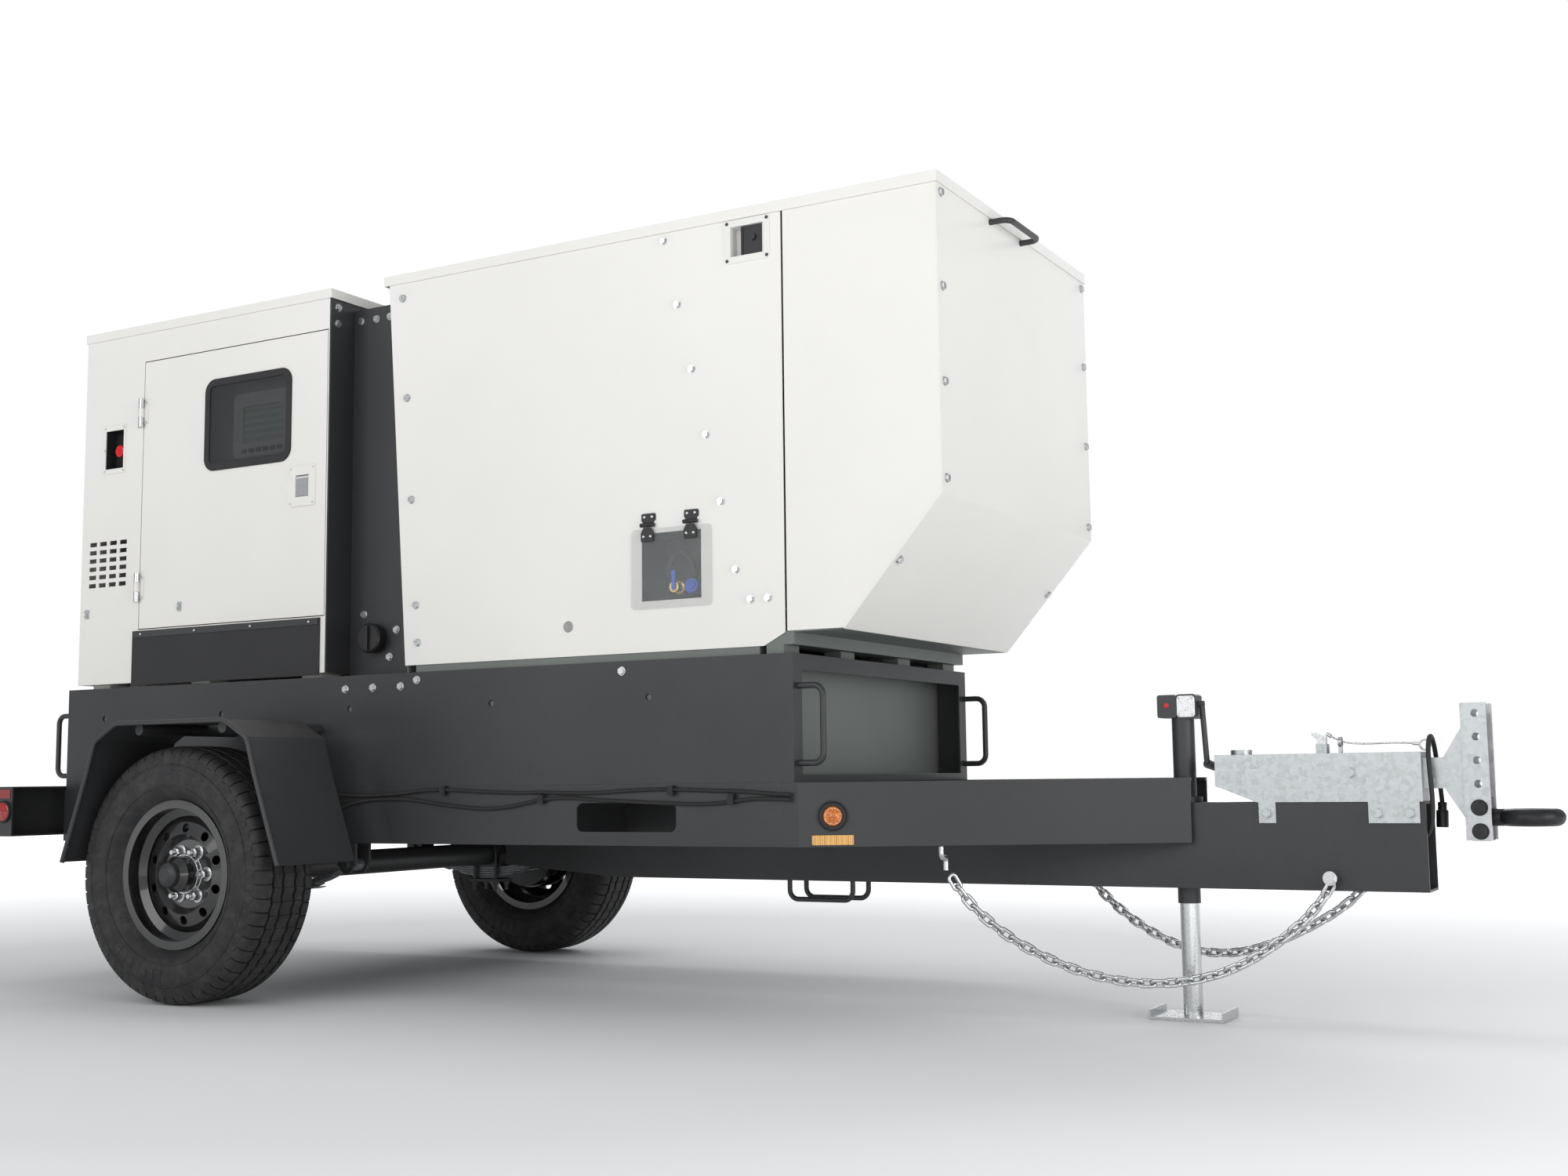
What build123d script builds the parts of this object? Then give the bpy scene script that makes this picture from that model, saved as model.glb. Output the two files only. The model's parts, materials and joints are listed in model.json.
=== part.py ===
from build123d import *
import math
import os

# Towable diesel generator: canopy, control cabinet, base tank, trailer frame, axle, jack and hitch.
#
# +X points towards the hitch, +Z up, -Y is the side with the control door.
# The origin is on the ground, under the middle of the axle.  Millimetres.

# ------------------------------------------------------------------ driving dimensions
# running gear
tyre_radius = 359
tyre_width = 225
half_track = 805
rim_flange_radius = 208
rim_width = 164
stud_circle_radius = 69.85
stud_count = 6
axle_tube_radius = 38
spring_offset = 512            # spring's middle line from the mid-plane
spring_eye_reach = 320         # eye from the axle, fore and aft
spring_upper_radius = 820
leaf_thickness = 8
leaf_width = 45
leaf_count = 5
drum_radius = 130

# trailer frame
rail_half_width = 541          # outer faces of the two rails
rail_top = 595
rail_bottom = 435
rail_rear = -900
rail_bend = 1807
rail_tip = 2658
rail_tip_half_width = 76
rail_web = 6
rail_flange = 55
rail_flange_thickness = 8
beam_half_width = 60
beam_top = 533
beam_bottom = 323
beam_rear = 515
beam_front = 3209
beam_wall = 6
bumper_half_width = 735
bumper_depth = 70

# base with the fuel tank inside
base_half_width = 540
base_rear = -895
base_front = 1795
base_height = 324
base_plate = 6
base_lip = 47
tank_setback = 90
tank_gap = 8
tank_wall = 5
handle_reach = 72
handle_radius = 8

# canopy over the engine
canopy_half_width = 533
roof_top = 2093
roof_lip = 28
roof_overhang = 4
sheet = 3
panel_bottom = 940
panel_rear_bottom = 523
panel_rear_top = 447
roof_rear = 430
seam = 1774
seam_gap = 6
nose_front = 2212
nose_crease = 1290
nose_toe = 1938
nose_floor = 972
flap_width = 253
flap_height = 214
flap_left = 1305
flap_top = 1267
service_door_rear = 640
service_door_front = 1480
service_door_bottom = 1010
service_door_top = 1960

# control cabinet and the recess in front of it
cabinet_rear = -862
cabinet_front = 217
cabinet_bottom = 933
door_rear = -585
door_front = 205
door_bottom = 1104
door_top = 1968
door_depth = 20
door_gap = 3
window_left = -296
window_right = 50
window_bottom = 1594
window_top = 1862
window_radius = 30
recess_half_width = 430
recess_top = 2047
filler_x = 319
filler_z = 1034
cap_radius = 44

# jack, surge coupler and lunette eye
jack_x = 2624
jack_tube_radius = 28
jack_tube_wall = 4
jack_bottom = 283
jack_head_bottom = 745
jack_travel = 220
actuator_rear = 2718
actuator_front = 3204
actuator_half_width = 64
actuator_height = 116
slide_half_width = 34
slide_bottom = 563
slide_top = 635
slide_travel = 40
channel_rear = 3293
channel_depth = 57
channel_half_width = 50
channel_plate = 10
channel_top = 760
channel_bottom = 443
bolt_pitch = 54.4
first_bolt_z = 464
coupler_hole_radius = 9
ring_x = 3432
ring_z = 495
ring_section_radius = 20
ring_mean_radius = 51
eye_radius = 33

# clearances
running = 0.06                 # radial, shafts and pins in their holes
slip = 0.5                     # between pieces that slide past each other
part_gap = 1.0                 # between pieces that only pass each other

# ------------------------------------------------------------------ values worked out from those
base_bottom = rail_top
base_top = base_bottom + base_height
panel_top = roof_top - sheet
lip_bottom = roof_top - roof_lip
rail_slope = math.atan2(rail_half_width - rail_tip_half_width, rail_tip - rail_bend)
actuator_top = beam_top + actuator_height
hub_height = tyre_radius
leaf_centre_z = hub_height - axle_tube_radius - 8 + spring_upper_radius
eye_z = leaf_centre_z - math.sqrt((spring_upper_radius + leaf_thickness / 2) ** 2 - spring_eye_reach ** 2)
leaf_bottom = leaf_centre_z - spring_upper_radius - leaf_count * leaf_thickness


# hinges
knuckle_radius = 8
hinge_pin_radius = 4
hinge_leaf = 3
hinge_height = 92

# trailer frame
opening_left, opening_right = 1131, 1446
opening_bottom, opening_top = 471, 547
grommet_hole_radius = 16
rail_weld_x = 1750             # the straight length is welded to the bent one here
lamp_radius = 30
marker_radius = 26

# mudguards
fender_outer = 950
fender_inner = 660
fender_middle = 35
fender_top = 785
fender_bottom = 392
fender_foot = 425
fender_sheet = 3
bead_radius = 7

# axle, springs and wheels
hanger_plate = 8
eye_outer = 18
eye_inner = 12
eye_bolt_radius = 8
spindle_radius = 22
u_bolt_radius = 6
u_bolt_half_width = axle_tube_radius + u_bolt_radius
tie_plate_thickness = 10
hub_nose_radius = 50
disc_offset = 22

# base frame and fuel tank
base_hole_pitch = 521
base_hole_first = -723
tank_rear = base_rear + tank_setback
tank_front = base_front - tank_setback
tank_bottom = base_bottom + base_plate
tank_top = base_top - base_plate - tank_gap
neck_radius = 36
neck_y = -recess_half_width + 60
tie_loop_radius = 7

# canopy
flap_opening = (1337, 1523, 1075, 1255)
latch_x = 1672
latch_z = 2005
latch_width = 106
latch_height = 86
latch_bezel = 15
door_latch_x = service_door_front - 90
door_latch_z = 1500
grille_front = nose_front - 70
grille_rear = 1860
grille_half_width = 380
exhaust_x = 1700
exhaust_y = 300
exhaust_radius = 38
flap_thickness = 5
flap_stand_off = 1.5
flap_pin_z = flap_top + 10
flap_pin_y = -canopy_half_width - 8
flap_pin_radius = 2.5

# control cabinet
cabinet_setback = 5
vent_columns, vent_rows = 4, 6
vent_left, vent_bottom = -825, 1248
vent_pitch_x, vent_pitch_z = 47, 27
vent_width, vent_height = 33, 14
estop_box_half_width, estop_box_half_height = 46, 68
curtain_left, curtain_right = -604, 185
curtain_bottom, curtain_top = 944, 1094
estop_x, estop_z = -718, 1696
estop_width, estop_height = 102, 158
button_x, button_z = -698, 1690
door_latch_middle = 112
panel_y = -canopy_half_width + 80
breaker_left, breaker_right = -180, 0
breaker_bottom, breaker_top = 1230, 1480
breaker_face = panel_y - 20
lever_half_length = 18
lever_pivot_y, lever_pivot_z = panel_y - 31, 1355
lever_pin_radius = 4
lever_hub_radius = 9
lever_arm_half_width, lever_arm_reach, lever_arm_half_height = 12, 24, 7
cheek_thickness, cheek_depth, cheek_half_height = 16, 12, 60
panel_inset, panel_thickness = 25, 3
panel_bottom_edge, panel_top_edge = 1120, 1940
controller_left, controller_right = -232, 18
controller_bottom, controller_top = 1600, 1850
controller_depth, controller_corner = 24, 14
stay_size, stay_height = 15, 1200
lug_board_depth, lug_board_thickness, lug_board_top = 40, 12, 1110
lug_board_inset, tab_thickness = 30, 5
lug_count, lug_first, lug_pitch, lug_height = 5, -480, 110, 1030
lug_base_radius, lug_stud_radius, lug_nut_across, lug_nut_thickness = 26, 9, 32, 12

# engine and alternator
crank_z = 1330
fan_x = 1618
fan_radius = 270
shaft_radius = 30
skid_top = 1000

# jack
crank_arm_x = jack_x + 50
crank_axis_z = 779
crank_arm_length = 150
foot_half_length = 94
foot_half_width = 68
foot_thickness = 8
foot_lip_thickness, foot_lip_height = 5, 24
jack_head_half_width, jack_head_top, jack_head_rear, jack_head_front = 32, 803, 56, 6
jack_cover_half_width, jack_cover_rear, jack_cover_front = 29, 8, 42
collar_height, collar_wall = 14, 14
crank_shaft_radius, crank_arm_radius, crank_lean = 8, 7, 8
grip_radius, grip_length = 11, 66

# surge coupler
lever_x = 2967
lever_z = 660
strap_spans = ((2822, 2863, (2842,)), (3080, 3196, (3102, 3174)))    # rear edge, front edge, bolts
strap_drop = 50
bolt_across, bolt_thickness = 19, 10
housing_bolt_x, housing_bolt_z = 3043, 602
reservoir_x, reservoir_radius, reservoir_height = 2769, 26, 12
guide_x, guide_z, guide_radius = 3006, 676, 13

# chains, wiring
chain_wire = 4.5
chain_inner = 31
link_half_width = 10.2         # from a link's middle line to the middle of its long sides
harness_radius = 5

os.makedirs("parts", exist_ok=True)


# ------------------------------------------------------------------ shape helpers
def save(name, *shapes):
    """Write one node: every shape given becomes a separate solid in it."""
    solids = []
    for shape in shapes:
        solids.extend(shape.solids())
    export_step(Compound(solids), f"parts/{name}.step")


def block(x0, x1, y0, y1, z0, z1):
    return Pos((x0 + x1) / 2, (y0 + y1) / 2, (z0 + z1) / 2) * Box(x1 - x0, y1 - y0, z1 - z0)


def shell(x0, x1, y0, y1, z0, z1, wall):
    """A closed box with walls of one thickness."""
    inner = block(x0 + wall, x1 - wall, y0 + wall, y1 - wall, z0 + wall, z1 - wall)
    return block(x0, x1, y0, y1, z0, z1) - inner


def rod(start, end, radius):
    a, b = Vector(*start), Vector(*end)
    return Pos(*start) * Plane(origin=(0, 0, 0), z_dir=b - a).location * Pos(0, 0, (b - a).length / 2) * \
        Cylinder(radius, (b - a).length)


def pipe(start, end, outer, inner):
    return rod(start, end, outer) - rod(start, end, inner)


def prism_xz(points, y0, y1):
    face = Face(Wire.make_polygon([(x, y0, z) for x, z in points]))
    return Part(extrude(face, amount=y1 - y0, dir=(0, 1, 0)).wrapped)


def prism_xy(points, z0, z1):
    face = Face(Wire.make_polygon([(x, y, z0) for x, y in points]))
    return Part(extrude(face, amount=z1 - z0, dir=(0, 0, 1)).wrapped)


def prism_yz(points, x0, x1):
    face = Face(Wire.make_polygon([(x0, y, z) for y, z in points]))
    return Part(extrude(face, amount=x1 - x0, dir=(1, 0, 0)).wrapped)


def mirrored(shape):
    """The same piece on the other side of the mid-plane."""
    return mirror(shape, about=Plane.XZ)


def both_sides(shape):
    return [shape, mirrored(shape)]


def hexagon(centre, direction, across_flats, height):
    """A hexagonal head or nut whose base is at centre."""
    sketch = Plane(origin=centre, z_dir=direction) * RegularPolygon(across_flats / math.sqrt(3), 6)
    return extrude(sketch, amount=height)


def bent_rod(points, radius, radii):
    """A round rod through the points, with one bend radius for each corner."""
    path = FilletPolyline(*points, radius=radii)
    start = Plane(origin=path @ 0, z_dir=path % 0)
    return sweep(start * Circle(radius), path=path)


def cable(points, radius):
    """A cable of straight runs and arcs; each arc is as large as its two runs allow."""
    vectors = [Vector(*p) for p in points]
    radii = []
    for before, corner, after in zip(vectors, vectors[1:], vectors[2:]):
        run_in, run_out = corner - before, after - corner
        turn = math.radians(run_in.get_angle(run_out))
        radii.append(0.45 * min(run_in.length, run_out.length) / math.tan(turn / 2))
    print("cable radius", radius, "tightest arc", round(min(radii), 1))
    return bent_rod(points, radius, radii)


def rail_line(inset):
    """Bend and tip of a line that runs inside a rail's outer face, at y > 0."""
    bend = (rail_bend - inset * math.tan(rail_slope / 2), rail_half_width - inset)
    tip_y = bend[1] - (rail_tip - bend[0]) * math.tan(rail_slope)
    return bend, (rail_tip, tip_y)


def rail_strip(inner, z0, z1):
    """The part of a rail from its outer face to a given depth, between two heights."""
    (bx, by), (tx, ty) = rail_line(0)
    (cx, cy), (sx, sy) = rail_line(inner)
    outline = [(rail_rear, rail_half_width), (bx, by), (tx, ty), (sx, sy), (cx, cy)]
    outline.append((rail_rear, rail_half_width - inner))
    return prism_xy(outline, z0, z1)


def panel_rear(z):
    """The canopy's rear edge leans: its X at a height."""
    share = (z - panel_bottom) / (lip_bottom - panel_bottom)
    return panel_rear_bottom + (panel_rear_top - panel_rear_bottom) * share


def pan(x0, x1, z0, z1, y_face, depth):
    """A door skin with folded edges; its outer face looks to -Y."""
    skin = block(x0, x1, y_face, y_face + depth, z0, z1)
    return skin - block(x0 + sheet, x1 - sheet, y_face + sheet, y_face + depth + 1, z0 + sheet, z1 - sheet)


def hinge(x, y_face, z, fixed_length, moving_length):
    """A butt hinge on a face that looks to -Y, with its pin along Z: fixed half, moving half."""
    y = y_face - knuckle_radius - hinge_leaf - part_gap
    third = hinge_height / 3
    bottom = z - hinge_height / 2
    pin = rod((x, y, bottom), (x, y, bottom + hinge_height), hinge_pin_radius)
    fixed = pin
    for k in (0, 2):
        fixed += rod((x, y, bottom + k * third), (x, y, bottom + (k + 1) * third), knuckle_radius)
    web = block(x - 4, x, y, y_face - hinge_leaf, bottom, bottom + third)
    leaf = block(x - fixed_length, x - part_gap, y_face - hinge_leaf, y_face, bottom, bottom + hinge_height)
    fixed += leaf
    for k in (0, 2):
        fixed += web.moved(Location((0, 0, k * third)))
    z0, z1 = bottom + third + slip, bottom + 2 * third - slip
    moving = rod((x, y, z0), (x, y, z1), knuckle_radius)
    moving += block(x, x + 4, y, y_face - hinge_leaf, z0, z1)
    moving -= rod((x, y, bottom), (x, y, bottom + hinge_height), hinge_pin_radius + running)
    moving += block(x + part_gap + 1, x + moving_length, y_face - hinge_leaf, y_face, z0 - 20, z1 + 20)
    return fixed, moving


def bolt_heads(places, direction, across_flats=17, height=8):
    """Hexagon heads with washers, seated on the points given."""
    heads = []
    step = Vector(*direction).normalized()
    for place in places:
        base = Vector(*place)
        washer = Plane(origin=base, z_dir=step) * Circle(across_flats * 0.7)
        head = extrude(washer, amount=2)
        head += hexagon(base + step * 2, step, across_flats, height - 2)
        heads.append(head)
    return heads


# ------------------------------------------------------------------ trailer frame


def frame_rail():
    """Left rail: a channel with its web outside, bent in towards the hitch beam."""
    rail = rail_strip(rail_web, rail_bottom, rail_top)
    rail += rail_strip(rail_flange, rail_bottom, rail_bottom + rail_flange_thickness)
    rail += rail_strip(rail_flange, rail_top - rail_flange_thickness, rail_top)
    slot = block(opening_left, opening_right, rail_half_width - 30, rail_half_width + 1, opening_bottom, opening_top)
    slot = fillet(slot.edges().filter_by(Axis.Y), radius=18)
    rail -= slot
    rail -= block(beam_rear - 50, beam_front, -beam_half_width, beam_half_width, 0, roof_top)
    straight = block(rail_rear - 1, rail_weld_x, 0, rail_half_width + 1, 0, roof_top)
    return [rail & straight, rail - straight]


def crossmembers():
    """Channels between the rails, open to the rear, notched for the hitch beam."""
    inside = rail_half_width - rail_web
    wall = 6
    members = []
    for x in (-322, 322, 900, 1660):
        z0 = rail_bottom + rail_flange_thickness
        z1 = rail_top - rail_flange_thickness
        member = block(x, x + 60, -inside, inside, z0, z1)
        member -= block(x - 1, x + 60 - wall, -inside - 1, inside + 1, z0 + wall, z1 - wall)
        if x > beam_rear - 60:
            member -= block(x - 2, x + 62, -beam_half_width, beam_half_width, 0, beam_top)
        members.append(member)
    return members


def tongue_beam():
    """Hollow hitch beam; its rear end is cut away below, and the jack's tube passes through it."""
    beam = block(beam_rear, beam_front, -beam_half_width, beam_half_width, beam_bottom, beam_top)
    inner = beam_half_width - beam_wall
    beam -= block(beam_rear + beam_wall, beam_front + 1, -inner, inner, beam_bottom + beam_wall, beam_top - beam_wall)
    cut = prism_xz([(beam_rear - 1, beam_bottom - 1), (beam_rear + 420, beam_bottom - 1), (beam_rear - 1, 356)],
                   -beam_half_width - 1, beam_half_width + 1)
    beam -= cut
    beam -= rod((jack_x, 0, beam_bottom - 1), (jack_x, 0, beam_top + 1), jack_tube_radius)
    return beam


def rear_bumper():
    """Channel across the rear; its open side faces forward and its ends are closed."""
    wall = 5
    x0, x1 = rail_rear - bumper_depth, rail_rear
    bumper = block(x0, x1, -bumper_half_width, bumper_half_width, rail_bottom + 20, rail_top + 15)
    bumper -= block(x0 + wall, x1 + 1, -bumper_half_width + wall, bumper_half_width - wall,
                    rail_bottom + 20 + wall, rail_top + 15 - wall)
    return bumper


def lamps():
    """Round lamps and reflectors: red at the rear, amber on the bent part of each rail."""
    rear = rail_rear - bumper_depth
    pieces = []
    for side in (-1, 1):
        y = side * bumper_half_width
        pieces.append(rod((rear + 35, y, 532), (rear + 35, y + side * 14, 532), lamp_radius))
        for offset in (80, 200):
            y_lamp = side * (bumper_half_width - offset)
            pieces.append(rod((rear, y_lamp, 532), (rear - 22, y_lamp, 532), 52))
        out = Vector(math.sin(rail_slope), side * math.cos(rail_slope), 0)
        for distance, height, radius in ((84, 511, marker_radius), (84, 452, 12)):
            base = Vector(rail_bend + distance * math.cos(rail_slope),
                          side * (rail_half_width - distance * math.sin(rail_slope)), height)
            if radius == marker_radius:
                end = base + out * 18
                pieces.append(rod(tuple(base), tuple(end), radius))
            else:
                strip = Plane(origin=base, x_dir=Vector(out.Y, -out.X, 0), z_dir=out) * Rectangle(104, 24)
                pieces.append(extrude(strip, amount=4))
    return pieces


# ------------------------------------------------------------------ mudguards


def fender_profile(inset):
    """Half-octagon over the wheel, as points from front to back."""
    top, foot = 215, fender_foot
    shape = [(foot, fender_bottom), (foot - 92, 640), (foot - 122, 735), (top, fender_top)]
    points = [(fender_middle + x - inset * 0.9, z - inset) for x, z in shape]
    points[0] = (fender_middle + foot - inset, fender_bottom)
    back = [(2 * fender_middle - x, z) for x, z in reversed(points)]
    return points + back


def fender():
    """Right mudguard: one bent sheet with a rolled bead on its outer edge, and two stay tubes."""
    outside, inside = fender_profile(0), fender_profile(fender_sheet)
    guard = prism_xz(outside + list(reversed(inside)), -fender_outer, -fender_inner)
    bead_line = [(x, -fender_outer, z) for x, z in fender_profile(fender_sheet / 2)]
    guard += bent_rod(bead_line, bead_radius, [60, 40, 40, 40, 40, 60])
    stays = []
    for x in (-130, 200):
        stays.append(rod((x, -rail_half_width, fender_top - fender_sheet - 16),
                         (x, -fender_outer + 40, fender_top - fender_sheet - 16), 16))
        stays.append(block(x - 16, x + 16, -rail_half_width - 12, -rail_half_width, 520, fender_top - 30))
    for stay in stays:
        guard += stay
    return guard


# ------------------------------------------------------------------ axle, springs and wheels


def axle_beam():
    """Round axle tube with its spindles, brake backing plates, spring pads and U-bolts."""
    y_end = half_track - 105
    axle = rod((0, -y_end, hub_height), (0, y_end, hub_height), axle_tube_radius)
    axle -= rod((0, -y_end - 1, hub_height), (0, y_end + 1, hub_height), axle_tube_radius - 8)
    spindle = rod((0, -half_track - 40, hub_height), (0, -y_end + 40, hub_height), spindle_radius)
    plug = rod((0, -y_end, hub_height), (0, -y_end + 40, hub_height), axle_tube_radius - 8)
    plate = rod((0, -y_end - 8, hub_height), (0, -y_end, hub_height), drum_radius - 6)
    pad = block(-62, 62, -spring_offset - 24, -spring_offset + 24, leaf_centre_z - spring_upper_radius, hub_height)
    pad -= rod((0, -spring_offset - 30, hub_height), (0, -spring_offset + 30, hub_height), axle_tube_radius)
    pad &= rod((0, -spring_offset - 40, leaf_centre_z), (0, -spring_offset + 40, leaf_centre_z), spring_upper_radius)
    for piece in (spindle, plug, plate, pad):
        for copy in both_sides(piece):
            axle += copy
    return axle


def u_bolts():
    """Two U-bolts over the axle on each side, a plate under the spring, and four nuts."""
    pieces = []
    for y in (-spring_offset - leaf_width / 2 - 9, -spring_offset + leaf_width / 2 + 9):
        r = u_bolt_half_width
        line = [(-r, y, leaf_bottom - 40), (-r, y, hub_height + r), (r, y, hub_height + r), (r, y, leaf_bottom - 40)]
        pieces.append(bent_rod(line, u_bolt_radius, [r - 1, r - 1]))
    plate = block(-62, 62, -spring_offset - 42, -spring_offset + 42, leaf_bottom - tie_plate_thickness, leaf_bottom)
    for bolt in list(pieces):
        plate -= bolt
    nuts = []
    for bolt in pieces:
        for x in (-u_bolt_half_width, u_bolt_half_width):
            y = bolt.bounding_box().center().Y
            nut = hexagon((x, y, leaf_bottom - tie_plate_thickness), (0, 0, -1), 19, 11)
            nuts.append(nut - bolt)
    all_pieces = pieces + [plate] + nuts
    return all_pieces + [mirrored(piece) for piece in all_pieces]


def leaf(index):
    """One curved leaf; the lower leaves are shorter."""
    inner = spring_upper_radius + index * leaf_thickness
    outer = inner + leaf_thickness
    reach = math.asin((spring_eye_reach - index * 62) / spring_upper_radius)
    def at(radius, angle):
        return (radius * math.sin(angle), -spring_offset - leaf_width / 2, leaf_centre_z - radius * math.cos(angle))
    edges = [
        ThreePointArc(at(inner, -reach), at(inner, 0), at(inner, reach)),
        Line(at(inner, reach), at(outer, reach)),
        ThreePointArc(at(outer, reach), at(outer, 0), at(outer, -reach)),
        Line(at(outer, -reach), at(inner, -reach)),
    ]
    face = Face(Wire(edges))
    return Part(extrude(face, amount=leaf_width, dir=(0, 1, 0)).wrapped)


def leaf_springs():
    """Five-leaf springs under the axle, with rolled eyes and plastic bushes."""
    y0, y1 = -spring_offset - leaf_width / 2, -spring_offset + leaf_width / 2
    main = leaf(0)
    bushes = []
    for x in (-spring_eye_reach, spring_eye_reach):
        main += rod((x, y0, eye_z), (x, y1, eye_z), eye_outer)
    for x in (-spring_eye_reach, spring_eye_reach):
        main -= rod((x, y0, eye_z), (x, y1, eye_z), eye_inner)
        bushes.append(pipe((x, y0, eye_z), (x, y1, eye_z), eye_inner, eye_bolt_radius + running))
    leaves = [main] + [leaf(k) for k in range(1, leaf_count)]
    pieces = leaves + bushes
    return pieces + [mirrored(piece) for piece in pieces]


def spring_hangers():
    """Two cheek plates round each spring eye, with the bolt through them."""
    pieces = []
    gap = leaf_width / 2 + 2
    for x in (-spring_eye_reach, spring_eye_reach):
        for side in (-1, 1):
            y0 = -spring_offset + side * gap
            y1 = y0 + side * hanger_plate
            cheek = block(x - 34, x + 34, min(y0, y1), max(y0, y1), eye_z - 4, rail_bottom)
            cheek += rod((x, min(y0, y1), eye_z), (x, max(y0, y1), eye_z), 26)
            cheek -= rod((x, min(y0, y1), eye_z), (x, max(y0, y1), eye_z), eye_bolt_radius)
            pieces.append(cheek)
        reach = gap + hanger_plate
        bolt = rod((x, -spring_offset - reach, eye_z), (x, -spring_offset + reach, eye_z), eye_bolt_radius)
        bolt += hexagon((x, -spring_offset - reach, eye_z), (0, -1, 0), 24, 9)
        bolt += hexagon((x, -spring_offset + reach, eye_z), (0, 1, 0), 24, 9)
        pieces.append(bolt)
    return pieces + [mirrored(piece) for piece in pieces]


def turned(profile, y_middle):
    """Turn a profile of (radius, outboard offset) points about the right wheel's axle line."""
    points = [(0, -y_middle - offset, hub_height + radius) for radius, offset in profile]
    face = Face(Wire.make_polygon(points))
    axis = Axis((0, 0, hub_height), (0, 1, 0))
    return revolve(face, axis=axis)


def tyre():
    """Hollow tyre; its beads sit against the rim."""
    half = tyre_width / 2
    side = [(rim_flange_radius - 18, 66), (rim_flange_radius + 4, 72), (rim_flange_radius + 22, half - 10),
            (283, half), (320, half - 5), (tyre_radius - 14, half - 14), (tyre_radius - 3, half - 30),
            (tyre_radius, 60)]
    other = [(r, -o) for r, o in reversed(side)]
    inner = [(rim_flange_radius - 18, 52), (rim_flange_radius + 10, 60), (280, half - 13), (tyre_radius - 26, 78)]
    inner_other = [(r, -o) for r, o in inner]
    return turned(side + other + inner_other + list(reversed(inner)), half_track)


def wheel():
    """Pressed steel rim and disc, with its brake drum, hub, grease cap, studs and nuts."""
    w = rim_width / 2
    seat = rim_flange_radius - 18
    outer = [(rim_flange_radius, w), (rim_flange_radius, w - 5), (seat, w - 10), (seat, w - 34),
             (168, w - 46), (168, -w + 46), (seat, -w + 34), (seat, -w + 10), (rim_flange_radius, -w + 5),
             (rim_flange_radius, -w)]
    wall = 5
    inner = [(seat - wall, -w), (seat - wall, -w + 36), (168 - wall, -w + 48), (168 - wall, w - 48),
             (seat - wall, w - 36), (seat - wall, w)]
    rim = turned(outer + inner, half_track)
    disc = turned([(163, 26), (146, 40), (112, 48), (96, disc_offset + 6), (hub_nose_radius + 3, disc_offset + 6),
                   (hub_nose_radius + 3, disc_offset), (98, disc_offset), (114, 42), (144, 34), (163, 18)], half_track)
    for k in range(10):
        angle = 2 * math.pi * k / 10
        x, z = 129 * math.sin(angle), hub_height + 129 * math.cos(angle)
        disc -= rod((x, -half_track - 80, z), (x, -half_track, z), 13)
    places = []
    for k in range(stud_count):
        angle = 2 * math.pi * (k + 0.5) / stud_count
        places.append((stud_circle_radius * math.sin(angle), hub_height + stud_circle_radius * math.cos(angle)))
    drum_out = disc_offset
    drum_in = disc_offset - 92
    bore = spindle_radius + running
    hub = turned([(drum_radius, drum_out - 8), (drum_radius, drum_in), (drum_radius - 5, drum_in),
                  (drum_radius - 5, drum_out - 14), (60, drum_out - 14), (60, drum_in + 30), (bore, drum_in + 30),
                  (bore, 40), (30, 40), (30, 92), (34, 92), (hub_nose_radius - 8, 84), (hub_nose_radius, 76),
                  (hub_nose_radius, drum_out), (86, drum_out), (86, drum_out - 8)], half_track)
    cap = turned([(0, 118), (20, 116), (34, 106), (34, 92), (0, 92)], half_track)
    pieces = [rim, cap]
    nuts = []
    for x, z in places:
        stud_end = -half_track - disc_offset - 34
        disc -= rod((x, -half_track - 80, z), (x, -half_track, z), 8)
        stud = rod((x, -half_track - drum_out, z), (x, stud_end, z), 7)
        nut = hexagon((x, -half_track - disc_offset - 6, z), (0, -1, 0), 21, 20)
        nuts.append(nut + stud)
    return pieces + [disc, hub] + nuts


# ------------------------------------------------------------------ base frame and fuel tank


def base_frame():
    """Plate box that carries the canopy: open ends with turned-in lips."""
    w, p = base_half_width, base_plate
    frame = block(base_rear, base_front, -w, w, base_bottom, base_top)
    frame -= block(base_rear - 1, base_front + 1, -w + p, w - p, base_bottom + p, base_top - p)
    for x0, x1 in ((base_rear, base_rear + p), (base_front - p, base_front)):
        lip = block(x0, x1, -w, w, base_bottom, base_top)
        lip -= block(x0 - 1, x1 + 1, -w + base_lip, w - base_lip, base_bottom + 20, base_top - 41)
        frame += lip
    for k in range(5):
        x = base_hole_first + k * base_hole_pitch
        frame -= rod((x, -w - 1, base_bottom + 227), (x, w + 1, base_bottom + 227), 9)
    frame -= rod((filler_x, neck_y, base_top - 20), (filler_x, neck_y, base_top + 5), neck_radius + 6)
    return frame


def fuel_tank():
    """Welded tank inside the base, open only at its filler."""
    w = base_half_width - base_plate - part_gap
    tank = shell(tank_rear, tank_front, -w, w, tank_bottom, tank_top, tank_wall)
    return tank - rod((filler_x, neck_y, tank_top - 20), (filler_x, neck_y, tank_top + 5), neck_radius)


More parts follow.
